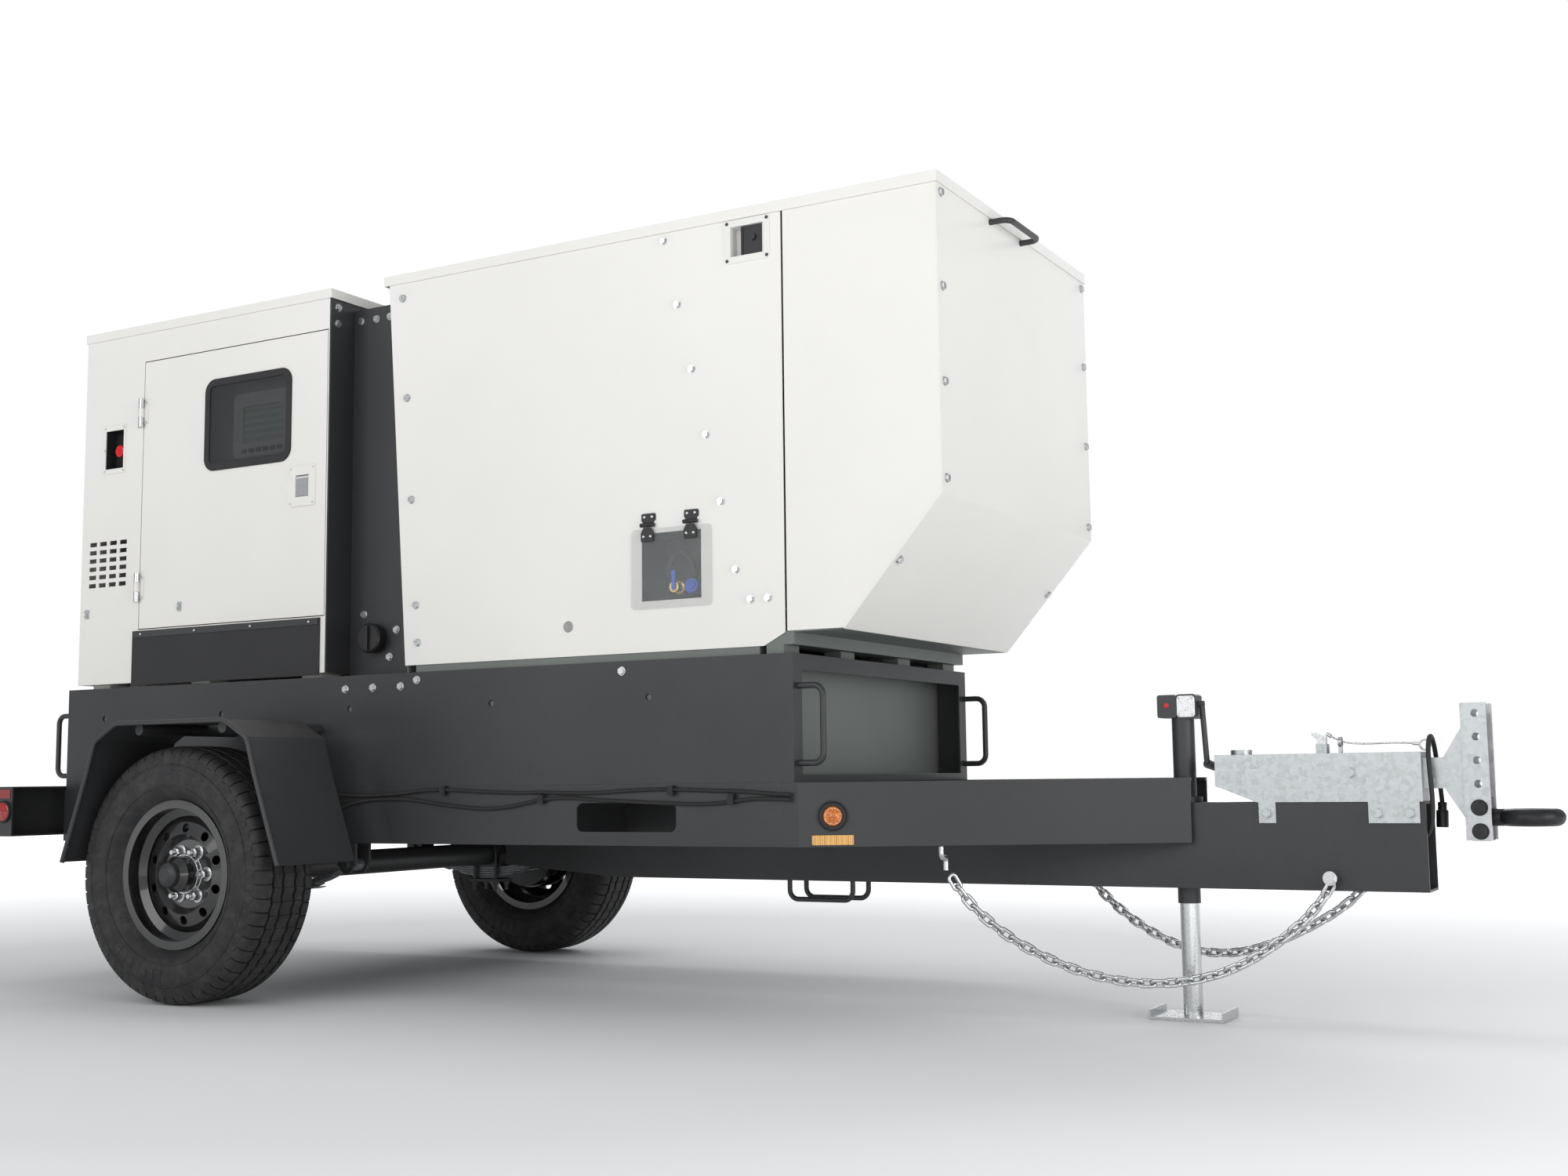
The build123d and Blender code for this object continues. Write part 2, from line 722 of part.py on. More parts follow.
def filler_neck():
    """Elbow from the cap on the recess's side down to the tank."""
    bore = neck_radius - 4
    mouth_y = -recess_half_width - 12
    flat = rod((filler_x, mouth_y, filler_z), (filler_x, neck_y, filler_z), neck_radius)
    drop = rod((filler_x, neck_y, filler_z), (filler_x, neck_y, tank_top - tank_wall), neck_radius)
    neck = flat + drop + Pos(filler_x, neck_y, filler_z) * Sphere(neck_radius)
    neck -= rod((filler_x, mouth_y - 1, filler_z), (filler_x, neck_y, filler_z), bore)
    neck -= rod((filler_x, neck_y, filler_z), (filler_x, neck_y, tank_top - tank_wall - 1), bore)
    return neck - Pos(filler_x, neck_y, filler_z) * Sphere(bore)


def fuel_cap():
    """Lockable cap over the mouth of the neck, with a lock tab."""
    y0 = -recess_half_width - 12 - slip
    cap = rod((filler_x, y0, filler_z), (filler_x, y0 - 26, filler_z), cap_radius)
    cap = chamfer(cap.faces().sort_by(Axis.Y)[0].edges(), 5)
    cap += block(filler_x - 6, filler_x + 6, y0 - 34, y0 - 25, filler_z - cap_radius + 8, filler_z + cap_radius - 8)
    return cap


def d_handles():
    """Four bent round handles on the base's end lips, and one on the canopy's nose."""
    handles = []
    for face, reach in ((base_front, handle_reach), (base_rear, -handle_reach)):
        for side in (-1, 1):
            y = side * (base_half_width - base_lip / 2)
            line = [(face, y, base_bottom + 48), (face + reach, y, base_bottom + 48),
                    (face + reach, y, base_bottom + 242), (face, y, base_bottom + 242)]
            handles.append(bent_rod(line, handle_radius, [26, 26]))
    z = lip_bottom - handle_radius - 2
    nose = [(nose_front, -190, z), (nose_front + 55, -190, z), (nose_front + 55, 25, z), (nose_front, 25, z)]
    handles.append(bent_rod(nose, handle_radius, [26, 26]))
    return handles


def tie_down_loops():
    """Two U-shaped bars welded under the hitch beam, one along each side."""
    loops = []
    for y in (-beam_half_width + 12, beam_half_width - 12):
        line = [(1505, y, beam_bottom), (1505, y, beam_bottom - 52), (1702, y, beam_bottom - 52), (1702, y, beam_bottom)]
        loops.append(bent_rod(line, tie_loop_radius, [26, 26]))
    return loops


# ------------------------------------------------------------------ canopy


def latch_hole(x, z, side):
    """Cut for a flush latch in a panel on one side."""
    w, h = latch_width / 2, latch_height / 2
    y = side * canopy_half_width
    return block(x - w, x + w, y - 60, y + 60, z - h, z + h)


def side_panel():
    """Right engine panel: a leaning rear edge, a notch at the foot, cuts for the flap and the latch."""
    y0, y1 = -canopy_half_width, -canopy_half_width + sheet
    right = seam - seam_gap / 2
    outline = [(panel_rear_bottom, panel_bottom), (right - 62, panel_bottom), (right, nose_floor),
               (right, panel_top), (panel_rear(panel_top), panel_top)]
    panel = prism_xz(outline, y0, y1)
    return panel


def side_panel_right():
    panel = side_panel()
    left, right, bottom, top = flap_opening
    panel -= block(left, right, -canopy_half_width - 1, -canopy_half_width + sheet + 1, bottom, top)
    return panel - latch_hole(latch_x, latch_z, -1)


def side_panel_left():
    """Left engine panel with the opening for the service door."""
    panel = mirrored(side_panel())
    gap = door_gap
    return panel - block(service_door_rear - gap, service_door_front + gap, canopy_half_width - 60,
                         canopy_half_width + 60, service_door_bottom - gap, service_door_top + gap)


def nose_cheek():
    """Right side of the nose, behind the folded front sheet."""
    left = seam + seam_gap / 2
    toe = nose_toe - sheet
    front = nose_front - sheet
    outline = [(left, nose_floor + sheet), (toe, nose_floor + sheet), (front, nose_crease + 1), (front, panel_top),
               (left, panel_top)]
    return prism_xz(outline, -canopy_half_width, -canopy_half_width + sheet)


def front_panel():
    """One sheet: upright front, folded back along the chamfer to the toe."""
    outer = [(nose_front, panel_top), (nose_front, nose_crease), (nose_toe, nose_floor)]
    inner = [(nose_toe - sheet, nose_floor + sheet), (nose_front - sheet, nose_crease + 1),
             (nose_front - sheet, panel_top)]
    return prism_xz(outer + inner, -canopy_half_width, canopy_half_width)


def enclosure_roof():
    """Roof pan with turned-down edges, a louvred air outlet over the nose and the exhaust hole."""
    x0, x1 = roof_rear, nose_front + roof_overhang
    w = canopy_half_width + roof_overhang
    roof = block(x0, x1, -w, w, lip_bottom, roof_top)
    wall = roof_overhang - 1
    roof -= block(x0 + wall, x1 - wall, -w + wall, w - wall, lip_bottom - 1, roof_top - sheet)
    for k in range(12):
        y = -grille_half_width + (k + 0.5) * 2 * grille_half_width / 12
        roof -= block(grille_rear, grille_front, y - 20, y + 20, roof_top - 10, roof_top + 1)
    return roof - rod((exhaust_x, exhaust_y, roof_top - 20), (exhaust_x, exhaust_y, roof_top + 5), exhaust_radius + 6)


def enclosure_floor():
    """Nose floor, cross support on the base, and the leaning rear bulkhead."""
    inner = canopy_half_width - sheet - part_gap
    floor = block(seam - 100, nose_toe - sheet - 3, -inner, inner, nose_floor, nose_floor + sheet)
    beam = block(seam - 70, seam + 20, -inner, inner, base_top + 22, nose_floor)
    for y in (-inner + 40, -inner / 3, inner / 3, inner - 40):
        beam += block(seam - 60, seam - 10, y - 40, y + 40, base_top, base_top + 22)
    lean = [(panel_rear(base_top) + 4, base_top), (panel_rear(base_top) + 7, base_top),
            (panel_rear(panel_top) + 7, panel_top), (panel_rear(panel_top) + 4, panel_top)]
    bulkhead = prism_xz(lean, -inner, inner)
    sills = [block(560, seam - 80, side * (inner - 20) - 20, side * (inner - 20) + 20, base_top, panel_bottom + 14)
             for side in (-1, 1)]
    return [floor, beam, bulkhead] + sills


def intake_box():
    """Recess between the cabinet and the canopy: the cabinet's front wall and a narrower duct."""
    wall = sheet
    y = recess_half_width
    x_end = panel_rear(recess_top) + 3
    foot = panel_rear(base_top) + 3
    duct = prism_xz([(cabinet_front, base_top), (foot, base_top), (x_end, recess_top), (cabinet_front, recess_top)],
                    -y, y)
    inner = [(cabinet_front - 1, base_top + wall), (foot + 50, base_top + wall), (x_end + 50, recess_top - wall),
             (cabinet_front - 1, recess_top - wall)]
    duct -= prism_xz(inner, -y + wall, y - wall)
    duct -= rod((filler_x, -y - 5, filler_z), (filler_x, -y + 10, filler_z), neck_radius)
    duct -= rod((filler_x, neck_y, base_top - 5), (filler_x, neck_y, base_top + 10), neck_radius + 6)
    front_wall = block(cabinet_front - 5, cabinet_front, -canopy_half_width, canopy_half_width,
                       cabinet_bottom, lip_bottom)
    return duct + front_wall


def panel_bolts():
    """Hexagon heads round the panels, on both sides and on the nose."""
    rear_edge = [(panel_rear(z) + 50, z) for z in (2020, 1720, 1419, 1112, 1004)]
    slanted = [(1411 + 43.3 * k, 2044 - 180.5 * k) for k in range(6)] + [(1671, 1062), (1722, 1062)]
    heads = []
    y = canopy_half_width
    for x, z in rear_edge + slanted:
        heads += bolt_heads([(x, -y, z)], (0, -1, 0))
        clear_of_door = not (service_door_rear - 20 < x < service_door_front + 20
                             and service_door_bottom - 20 < z < service_door_top + 20)
        if clear_of_door:
            heads += bolt_heads([(x, y, z)], (0, 1, 0))
    front = [(nose_front, side * 508, z) for side in (-1, 1) for z in (2044, 1806, 1567, 1327)]
    heads += bolt_heads(front, (1, 0, 0))
    slope = (nose_crease - nose_floor, 0, nose_toe - nose_front)
    half = 0.52
    chamfer_x = nose_toe + (nose_front - nose_toe) * half
    chamfer_z = nose_floor + (nose_crease - nose_floor) * half
    heads += bolt_heads([(chamfer_x, side * 508, chamfer_z) for side in (-1, 1)], slope)
    recess = [(243, 2011), (305, 2010), (359, 2010), (270, 1109), (398, 1057), (372, 978)]
    heads += bolt_heads([(x, -recess_half_width, z) for x, z in recess], (0, -1, 0))
    heads += bolt_heads([(cabinet_front, -505, z) for z in (2040, 1990)], (1, 0, 0))
    base = [(304, 880), (409, 881), (514, 881), (574, 897), (1278, 893)]
    heads += bolt_heads([(x, -base_half_width, z) for x, z in base], (0, -1, 0))
    heads += bolt_heads([(x, base_half_width, z) for x, z in base], (0, 1, 0))
    return heads


def access_flap():
    """Clear flap over the drain valves, hung from two hinges."""
    y0 = -canopy_half_width - flap_stand_off - flap_thickness
    right = flap_left + flap_width
    flap = block(flap_left, right, y0, y0 + flap_thickness, flap_top - flap_height, flap_top)
    return fillet(flap.edges().filter_by(Axis.Y), radius=8)


def flap_hinges():
    """Fixed and moving halves of the two flap hinges, pins along X."""
    fixed, moving = [], []
    for x in (1361, 1495):
        y0, y1 = flap_pin_y - 5, -canopy_half_width
        pin = rod((x - 21, flap_pin_y, flap_pin_z), (x + 21, flap_pin_y, flap_pin_z), flap_pin_radius)
        half = pin + block(x - 21, x + 21, y1 - 3, y1, flap_pin_z + 4, flap_pin_z + 30)
        for k in (-1, 1):
            a, b = sorted((x + k * 21, x + k * 8))
            half += rod((a, flap_pin_y, flap_pin_z), (b, flap_pin_y, flap_pin_z), 5)
            half += block(a, b, flap_pin_y, y1, flap_pin_z + 1, flap_pin_z + 5)
        fixed.append(half)
        turn = rod((x - 7.5, flap_pin_y, flap_pin_z), (x + 7.5, flap_pin_y, flap_pin_z), 5)
        face = -canopy_half_width - flap_stand_off - flap_thickness
        turn += block(x - 7.5, x + 7.5, face - 3, face, flap_pin_z - 12, flap_pin_z)
        turn += block(x - 19, x + 19, face - 3, face, flap_pin_z - 36, flap_pin_z - 9)
        turn -= rod((x - 22, flap_pin_y, flap_pin_z), (x + 22, flap_pin_y, flap_pin_z), flap_pin_radius + running)
        moving.append(turn)
    return fixed, moving


def flush_latch(side):
    """Flush latch built on the right side at the origin of its own place: cup with bezel, and paddle."""
    w, h = latch_width / 2, latch_height / 2
    y = -canopy_half_width
    bezel = block(-w - latch_bezel, w + latch_bezel, y - 3, y, -h - latch_bezel, h + latch_bezel)
    bezel = fillet(bezel.edges().filter_by(Axis.Y), radius=12)
    bezel -= block(-w + 3, w - 3, y - 4, y + 1, -h + 3, h - 3)
    cup = block(-w + 1, w - 1, y, y + 32, -h + 1, h - 1) - block(-w + 3, w - 3, y - 1, y + 30, -h + 3, h - 3)
    pin = rod((w - 8, y + 5, -h + 3), (w - 8, y + 5, h - 3), 2.5)
    rear = block(-w + 1, w - 1, y + 32, y + 50, -12, 12)
    paddle = block(-14, w - 4, y + 3, y + 7, -h + 5, h - 5)
    paddle -= rod((w - 8, y + 5, -h), (w - 8, y + 5, h), 2.5 + running)
    paddle += block(-20, -14, y + 1, y + 16, -h + 5, h - 5)
    key = rod((16, y + 3, 6), (16, y - 3, 6), 9)
    return bezel + cup + rear + pin, paddle + key


def place_latch(pair, x, z):
    return [piece.moved(Location((x, 0, z))) for piece in pair]


# ------------------------------------------------------------------ control cabinet


def vents(side):
    """The block of slots in one side of the cabinet, as cutters."""
    y = side * canopy_half_width
    cutters = []
    for column in range(vent_columns):
        for row in range(vent_rows):
            x = vent_left + column * vent_pitch_x
            z = vent_bottom + row * vent_pitch_z
            cutters.append(block(x, x + vent_width, y - sheet - 1, y + sheet + 1, z, z + vent_height))
    return cutters


def control_cabinet():
    """Welded from sheets: floor, rear, left side, and the strips round the door and cable openings."""
    w = canopy_half_width
    front = cabinet_front - cabinet_setback
    gap = door_gap
    post = door_front + gap
    rear_edge = door_rear - gap
    lid = panel_top
    skin = (-w, -w + sheet)
    inside = (-w + sheet, w - sheet)
    floor = block(cabinet_rear, front, -w, w, cabinet_bottom, cabinet_bottom + sheet)
    base = cabinet_bottom + sheet
    rear = block(cabinet_rear, cabinet_rear + sheet, *inside, base, lid)
    left = block(cabinet_rear, front, w - sheet, w, base, lid)
    strip = block(cabinet_rear, rear_edge, *skin, door_bottom - gap, lid)
    strip -= block(estop_x - estop_box_half_width, estop_x + estop_box_half_width, -w - 1, -w + sheet + 1,
                   estop_z - estop_box_half_height, estop_z + estop_box_half_height)
    for cutter in vents(-1):
        strip -= cutter
    for cutter in vents(1):
        left -= cutter
    header = block(rear_edge, post, *skin, door_top + gap, lid)
    jamb = block(post, front, *skin, door_bottom - gap, lid)
    rear_foot = block(cabinet_rear, curtain_left, *skin, base, door_bottom - gap)
    front_foot = block(curtain_right, front, *skin, base, door_bottom - gap)
    sill = block(curtain_left, curtain_right, *skin, curtain_top, door_bottom - gap)
    kick = block(curtain_left, curtain_right, *skin, base, curtain_bottom)
    feet = []
    for x in (-800, -350, 120):
        for y in (-450, 450):
            feet.append(block(x - 40, x + 40, y - 40, y + 40, base_top, cabinet_bottom))
    return [floor, rear, left, strip, header, jamb, rear_foot, front_foot, sill, kick] + feet


def cabinet_roof():
    """Cap with turned-down edges, level with the canopy's roof."""
    w = canopy_half_width + roof_overhang
    x0, x1 = cabinet_rear - roof_overhang, cabinet_front + roof_overhang
    wall = roof_overhang - 1
    cap = block(x0, x1, -w, w, lip_bottom, roof_top)
    return cap - block(x0 + wall, x1 - wall, -w + wall, w - wall, lip_bottom - 1, roof_top - sheet)


def control_door():
    """Door skin with folded edges, a window hole and a stiffener below it."""
    door = pan(door_rear, door_front, door_bottom, door_top, -canopy_half_width, door_depth)
    hole = block(window_left, window_right, -canopy_half_width - 1, -canopy_half_width + sheet + 1, window_bottom,
                 window_top)
    door -= fillet(hole.edges().filter_by(Axis.Y), radius=window_radius)
    door -= block(door_latch_middle - 30, door_latch_middle + 30, -canopy_half_width - 1,
                  -canopy_half_width + sheet + 1, 1465, 1535)
    y0 = -canopy_half_width + sheet
    return door + block(door_rear + sheet, door_front - sheet, y0, y0 + 15, 1380, 1400)


def door_window():
    """Smoked pane in a rubber frame that stands a little proud of the door."""
    y = -canopy_half_width
    outer = block(window_left - 12, window_right + 12, y - 3, y, window_bottom - 12, window_top + 12)
    outer = fillet(outer.edges().filter_by(Axis.Y), radius=window_radius + 12)
    lip = block(window_left + 1, window_right - 1, y, y + sheet, window_bottom + 1, window_top - 1)
    frame = outer + fillet(lip.edges().filter_by(Axis.Y), radius=window_radius - 1)
    sight = block(window_left + 11, window_right - 11, y - 4, y + sheet + 1, window_bottom + 11, window_top - 11)
    sight = fillet(sight.edges().filter_by(Axis.Y), radius=window_radius - 11)
    pane = block(window_left + 11, window_right - 11, y - 1, y + 3, window_bottom + 11, window_top - 11)
    pane = fillet(pane.edges().filter_by(Axis.Y), radius=window_radius - 11)
    return [frame - sight, pane]


def door_latch():
    """Compression latch on the door: plate with a tab, and the paddle that swings out of it."""
    y = -canopy_half_width
    x = door_latch_middle
    plate = block(x - 54, x + 54, y - 4, y, 1438, 1562)
    plate = fillet(plate.edges().filter_by(Axis.Y), radius=10)
    plate += prism_xz([(x - 54, 1478), (x - 54, 1522), (x - 84, 1500)], y - 4, y)
    plate -= block(x - 27, x + 27, y - 5, y + 1, 1467, 1533)
    cup = block(x - 29, x + 29, y, y + 26, 1466, 1534) - block(x - 27, x + 27, y - 1, y + 24, 1467, 1533)
    pin = rod((x - 27, y + 1, 1526), (x + 27, y + 1, 1526), 2.5)
    paddle = block(x - 25, x + 25, y - 1, y + 3, 1469, 1531)
    paddle += block(x - 25, x + 25, y - 1, y + 9, 1469, 1474)
    paddle -= rod((x - 28, y + 1, 1526), (x + 28, y + 1, 1526), 2.5 + running)
    return plate + cup + pin, paddle


def door_hinges():
    """Two hinges of the control door and two of the service door: fixed halves, moving halves."""
    fixed, moving_control, moving_service = [], [], []
    for z in (1236, 1801):
        a, b = hinge(door_rear - door_gap / 2, -canopy_half_width, z, 24, 22)
        fixed.append(a)
        moving_control.append(b)
    for z in (1200, 1770):
        a, b = hinge(service_door_rear - door_gap / 2, -canopy_half_width, z, 40, 40)
        fixed.append(mirrored(a))
        moving_service.append(mirrored(b))
    return fixed, moving_control, moving_service


def cable_curtain():
    """Rubber sheet over the cable opening, held by a steel strip along its top."""
    y = -canopy_half_width
    sheet_rubber = block(curtain_left - 4, curtain_right + 8, y - 5, y - 1, 926, curtain_top + 3)
    strip = block(curtain_left - 4, curtain_right + 8, y - 1, y, curtain_top, curtain_top + 3)
    return [sheet_rubber + strip]


def estop_housing():
    """Recessed plate round the emergency stop, with the collar of its push button."""
    y = -canopy_half_width
    w, h = estop_width / 2, estop_height / 2
    plate = block(estop_x - w, estop_x + w, y - 3, y, estop_z - h, estop_z + h)
    plate += block(estop_x - 45, estop_x + 45, y, y + 45, estop_z - 66, estop_z + 66)
    plate -= block(estop_x - 42, estop_x + 42, y - 4, y + 40, estop_z - 63, estop_z + 63)
    plate += rod((button_x, y + 40, button_z), (button_x, y + 22, button_z), 16)
    return plate - rod((button_x, y + 46, button_z), (button_x, y + 10, button_z), 10 + running)


def estop_button():
    y = -canopy_half_width
    stem = rod((button_x, y + 40, button_z), (button_x, y + 12, button_z), 10)
    head = rod((button_x, y + 14, button_z), (button_x, y - 2, button_z), 20)
    head = fillet(head.faces().sort_by(Axis.Y)[0].edges(), radius=6)
    return stem + head


def breaker_case():
    """Main breaker: its case, two cheeks either side of the lever, and the lever's pin."""
    middle = (breaker_left + breaker_right) / 2
    case = block(breaker_left, breaker_right, breaker_face, panel_y, breaker_bottom, breaker_top)
    inner = lever_half_length + part_gap
    cheeks = []
    for side in (-1, 1):
        a, b = sorted((middle + side * inner, middle + side * (inner + cheek_thickness)))
        cheeks.append(block(a, b, lever_pivot_y - cheek_depth, breaker_face, lever_pivot_z - cheek_half_height,
                            lever_pivot_z + cheek_half_height))
    pin = rod((middle - inner, lever_pivot_y, lever_pivot_z), (middle + inner, lever_pivot_y, lever_pivot_z),
              lever_pin_radius)
    return [case, *cheeks, pin]


def control_panel():
    """Instrument panel behind the door window: plate, controller, breaker, stays and the lug board."""
    rear, front, back = door_rear + panel_inset, door_front - panel_inset, panel_y + panel_thickness
    plate = block(rear, front, panel_y, back, panel_bottom_edge, panel_top_edge)
    controller = block(controller_left, controller_right, panel_y - controller_depth, panel_y, controller_bottom,
                       controller_top)
    controller = fillet(controller.edges().filter_by(Axis.Y), radius=controller_corner)
    stays = []
    for x in (rear, front - stay_size):
        stays.append(block(x, x + stay_size, back, canopy_half_width - sheet, stay_height, stay_height + stay_size))
    board_y = panel_y + lug_board_depth
    left = curtain_left + lug_board_inset
    lug_board = block(left, curtain_right - lug_board_inset, board_y, board_y + lug_board_thickness,
                      cabinet_bottom + sheet, lug_board_top)
    arm = block(left, left + stay_size, back, board_y, lug_board_top - panel_inset, lug_board_top)
    tab = block(left, left + stay_size, back, back + tab_thickness, lug_board_top, lug_board_top + panel_inset)
    return [plate, controller, *breaker_case(), *stays, arm, tab, lug_board]


def power_lugs():
    """Five threaded output lugs in a row behind the curtain."""
    lugs = []
    nut_seat = panel_y + lug_board_depth - lug_base_radius
    for k in range(lug_count):
        x = lug_first + k * lug_pitch
        base = rod((x, panel_y + lug_board_depth, lug_height), (x, nut_seat, lug_height), lug_base_radius)
        stud = rod((x, nut_seat, lug_height), (x, lever_pivot_y, lug_height), lug_stud_radius)
        nut = hexagon((x, nut_seat, lug_height), (0, -1, 0), lug_nut_across, lug_nut_thickness)
        lugs.append(base + stud + nut)
    return lugs


def breaker_lever():
    """Main breaker's lever; it turns on its pin between the cheeks."""
    middle = (breaker_left + breaker_right) / 2
    y, z = lever_pivot_y, lever_pivot_z
    hub = rod((middle - lever_half_length, y, z), (middle + lever_half_length, y, z), lever_hub_radius)
    arm = block(middle - lever_arm_half_width, middle + lever_arm_half_width, y - lever_arm_reach, y - 2,
                z - lever_arm_half_height, z + lever_arm_half_height)
    pin_hole = rod((middle - 30, y, z), (middle + 30, y, z), lever_pin_radius + running)
    return hub + arm - pin_hole


# ------------------------------------------------------------------ engine and alternator


def engine_skid():
    """Two rails and four rubber mounts under the engine and the alternator."""
    rails = [block(640, 1600, side * 260 - 30, side * 260 + 30, base_top, skid_top) for side in (-1, 1)]
    mounts = []
    for x in (720, 1480):
        for side in (-1, 1):
            mounts.append(rod((x, side * 260, skid_top), (x, side * 260, skid_top + 50), 42))
    return rails + mounts


def engine_block():
    """Block, sump, head, valve cover and feet; hollow, with a bore for the crankshaft."""
    body = block(1020, 1560, -190, 190, 1180, 1560) - block(1040, 1540, -160, 160, 1200, 1540)
    body += block(1060, 1540, -150, 150, 1080, 1180)
    body += block(1040, 1550, -120, 120, 1560, 1680)
    cover = fillet(block(1070, 1520, -70, 70, 1680, 1760).edges().filter_by(Axis.X), radius=22)
    body += cover
    for side in (-1, 1):
        body += block(1440, 1520, side * 245 - 55, side * 245 + 55, skid_top + 50, skid_top + 66)
        body += block(1440, 1520, side * 180 - 16, side * 180 + 16, skid_top + 50, 1190)
    body += rod((1020, 0, crank_z), (980, 0, crank_z), 220)
    body += block(1200, 1400, 190, 250, 1500, 1600)
    return body - rod((970, 0, crank_z), (1570, 0, crank_z), shaft_radius + running)


def alternator():
    """Ribbed round housing bolted to the flywheel housing, with its terminal box and feet."""
    body = rod((640, 0, crank_z), (980, 0, crank_z), 215)
    for k in range(16):
        angle = 2 * math.pi * k / 16
        y, z = 218 * math.sin(angle), crank_z + 218 * math.cos(angle)
        body += rod((670, y, z), (950, y, z), 9)
    body += block(680, 900, -150, 150, crank_z + 190, crank_z + 330)
    for side in (-1, 1):
        body += block(680, 760, side * 220 - 70, side * 220 + 70, skid_top + 50, skid_top + 66)
        body += block(690, 750, side * 160 - 12, side * 160 + 12, skid_top + 50, crank_z - 100)
    return body - rod((630, 0, crank_z), (980, 0, crank_z), 150)


def cooling_fan():
    """Crankshaft with its pulley and the eight-blade fan."""
    shaft = rod((1045, 0, crank_z), (fan_x + 20, 0, crank_z), shaft_radius)
    shaft += rod((1570, 0, crank_z), (1592, 0, crank_z), 90)
    shaft += rod((fan_x - 20, 0, crank_z), (fan_x + 20, 0, crank_z), 70)
    for k in range(8):
        blade = Pos(0, 0, (60 + fan_radius) / 2) * Rot(0, 0, 32) * Box(6, 90, fan_radius - 60)
        shaft += Pos(fan_x, 0, crank_z) * Rot(45 * k, 0, 0) * blade
    return shaft


def radiator():
    """Finned core between two tanks, in a steel surround with its fan ring."""
    core = block(1690, 1750, -330, 330, 1020, 1760)
    tanks = block(1680, 1760, -340, 340, 1760, 1835) + block(1680, 1760, -340, 340, 975, 1020)
    ring = rod((1600, 0, crank_z), (1690, 0, crank_z), fan_radius + 22)
    ring -= rod((1590, 0, crank_z), (1691, 0, crank_z), fan_radius + 14)
    fins = core + tanks + ring
    for k in range(14):
        z = 1050 + k * 50
        fins -= block(1685, 1700, -320, 320, z, z + 34)
    return fins


def silencer():
    """Silencer drum across the nose with its inlet pipe and the upright tail pipe."""
    drum = rod((1960, -320, 1640), (1960, 320, 1640), 110)
    drum -= rod((1960, -317, 1640), (1960, 317, 1640), 107)
    tail = pipe((exhaust_x, exhaust_y, 1930), (exhaust_x, exhaust_y, roof_top + 40), exhaust_radius,
                exhaust_radius - 3)
    link = rod((exhaust_x, exhaust_y, 1930), (1960, exhaust_y - 80, 1735), 30)
    hanger = block(1950, 1970, -150, -130, 1740, panel_top) + block(1950, 1970, 130, 150, 1740, panel_top)
    return drum + link + tail + hanger


def air_cleaner():
    """Air cleaner can over the alternator with its bracket."""
    can = rod((640, -120, 1840), (960, -120, 1840), 105)
    can += rod((960, -120, 1840), (990, -120, 1840), 60)
    return can + block(700, 730, -130, -110, crank_z + 330, 1760) + block(700, 730, -130, -110, 1700, 1760)


def battery():
    """Starting battery on the sill side, with two posts."""
    case = block(560, 632, -440, -140, base_top, 1130)
    posts = [rod((596, y, 1130), (596, y, 1148), 9) for y in (-400, -180)]
    return [case] + posts


# ------------------------------------------------------------------ jack


def jack_tube():
    """Outer tube with its collar on the beam and the gear head."""
    tube = pipe((jack_x, 0, jack_bottom), (jack_x, 0, jack_head_bottom), jack_tube_radius,
                jack_tube_radius - jack_tube_wall)
    collar = pipe((jack_x, 0, beam_top), (jack_x, 0, beam_top + collar_height),
                  jack_tube_radius + collar_wall, jack_tube_radius)
    head = block(jack_x - jack_head_rear, jack_x - jack_head_front, -jack_head_half_width, jack_head_half_width,
                 jack_head_bottom, jack_head_top)
    head = fillet(head.edges().filter_by(Axis.Y), radius=6)
    cover = block(jack_x - jack_cover_rear, jack_x + jack_cover_front, -jack_cover_half_width,
                  jack_cover_half_width, jack_head_bottom - 3, jack_head_top + 1)
    cover = fillet(cover.edges().filter_by(Axis.Y), radius=8)
    shaft_hole = rod((jack_x - 20, 0, crank_axis_z), (jack_x + 60, 0, crank_axis_z), crank_shaft_radius + running)
    return tube + collar + (head + cover - shaft_hole)


def jack_leg():
    """Inner leg on its foot plate, whose ends turn up."""
    radius = jack_tube_radius - jack_tube_wall - running
    leg = pipe((jack_x, 0, foot_thickness), (jack_x, 0, jack_head_bottom - jack_travel - 20), radius, radius - 5)
    foot = block(jack_x - foot_half_length, jack_x + foot_half_length, -foot_half_width, foot_half_width, 0,
                 foot_thickness)
    for side in (-1, 1):
        x = jack_x + side * foot_half_length
        a, b = sorted((x, x - side * foot_lip_thickness))
        foot += block(a, b, -foot_half_width, foot_half_width, 0, foot_lip_height)
    return leg + foot


def jack_crank():
    """Crank: short shaft along X, arm down, grip pointing away from the door side."""
    shaft = rod((jack_x - 15, 0, crank_axis_z), (crank_arm_x + 6, 0, crank_axis_z), crank_shaft_radius)
    end = (crank_arm_x + crank_lean, 0, crank_axis_z - crank_arm_length)
    arm = rod((crank_arm_x, 0, crank_axis_z), end, crank_arm_radius)
    grip = rod(end, (end[0] + 14, grip_length, end[2] - 12), grip_radius)
    return shaft + arm + grip


# ------------------------------------------------------------------ surge coupler


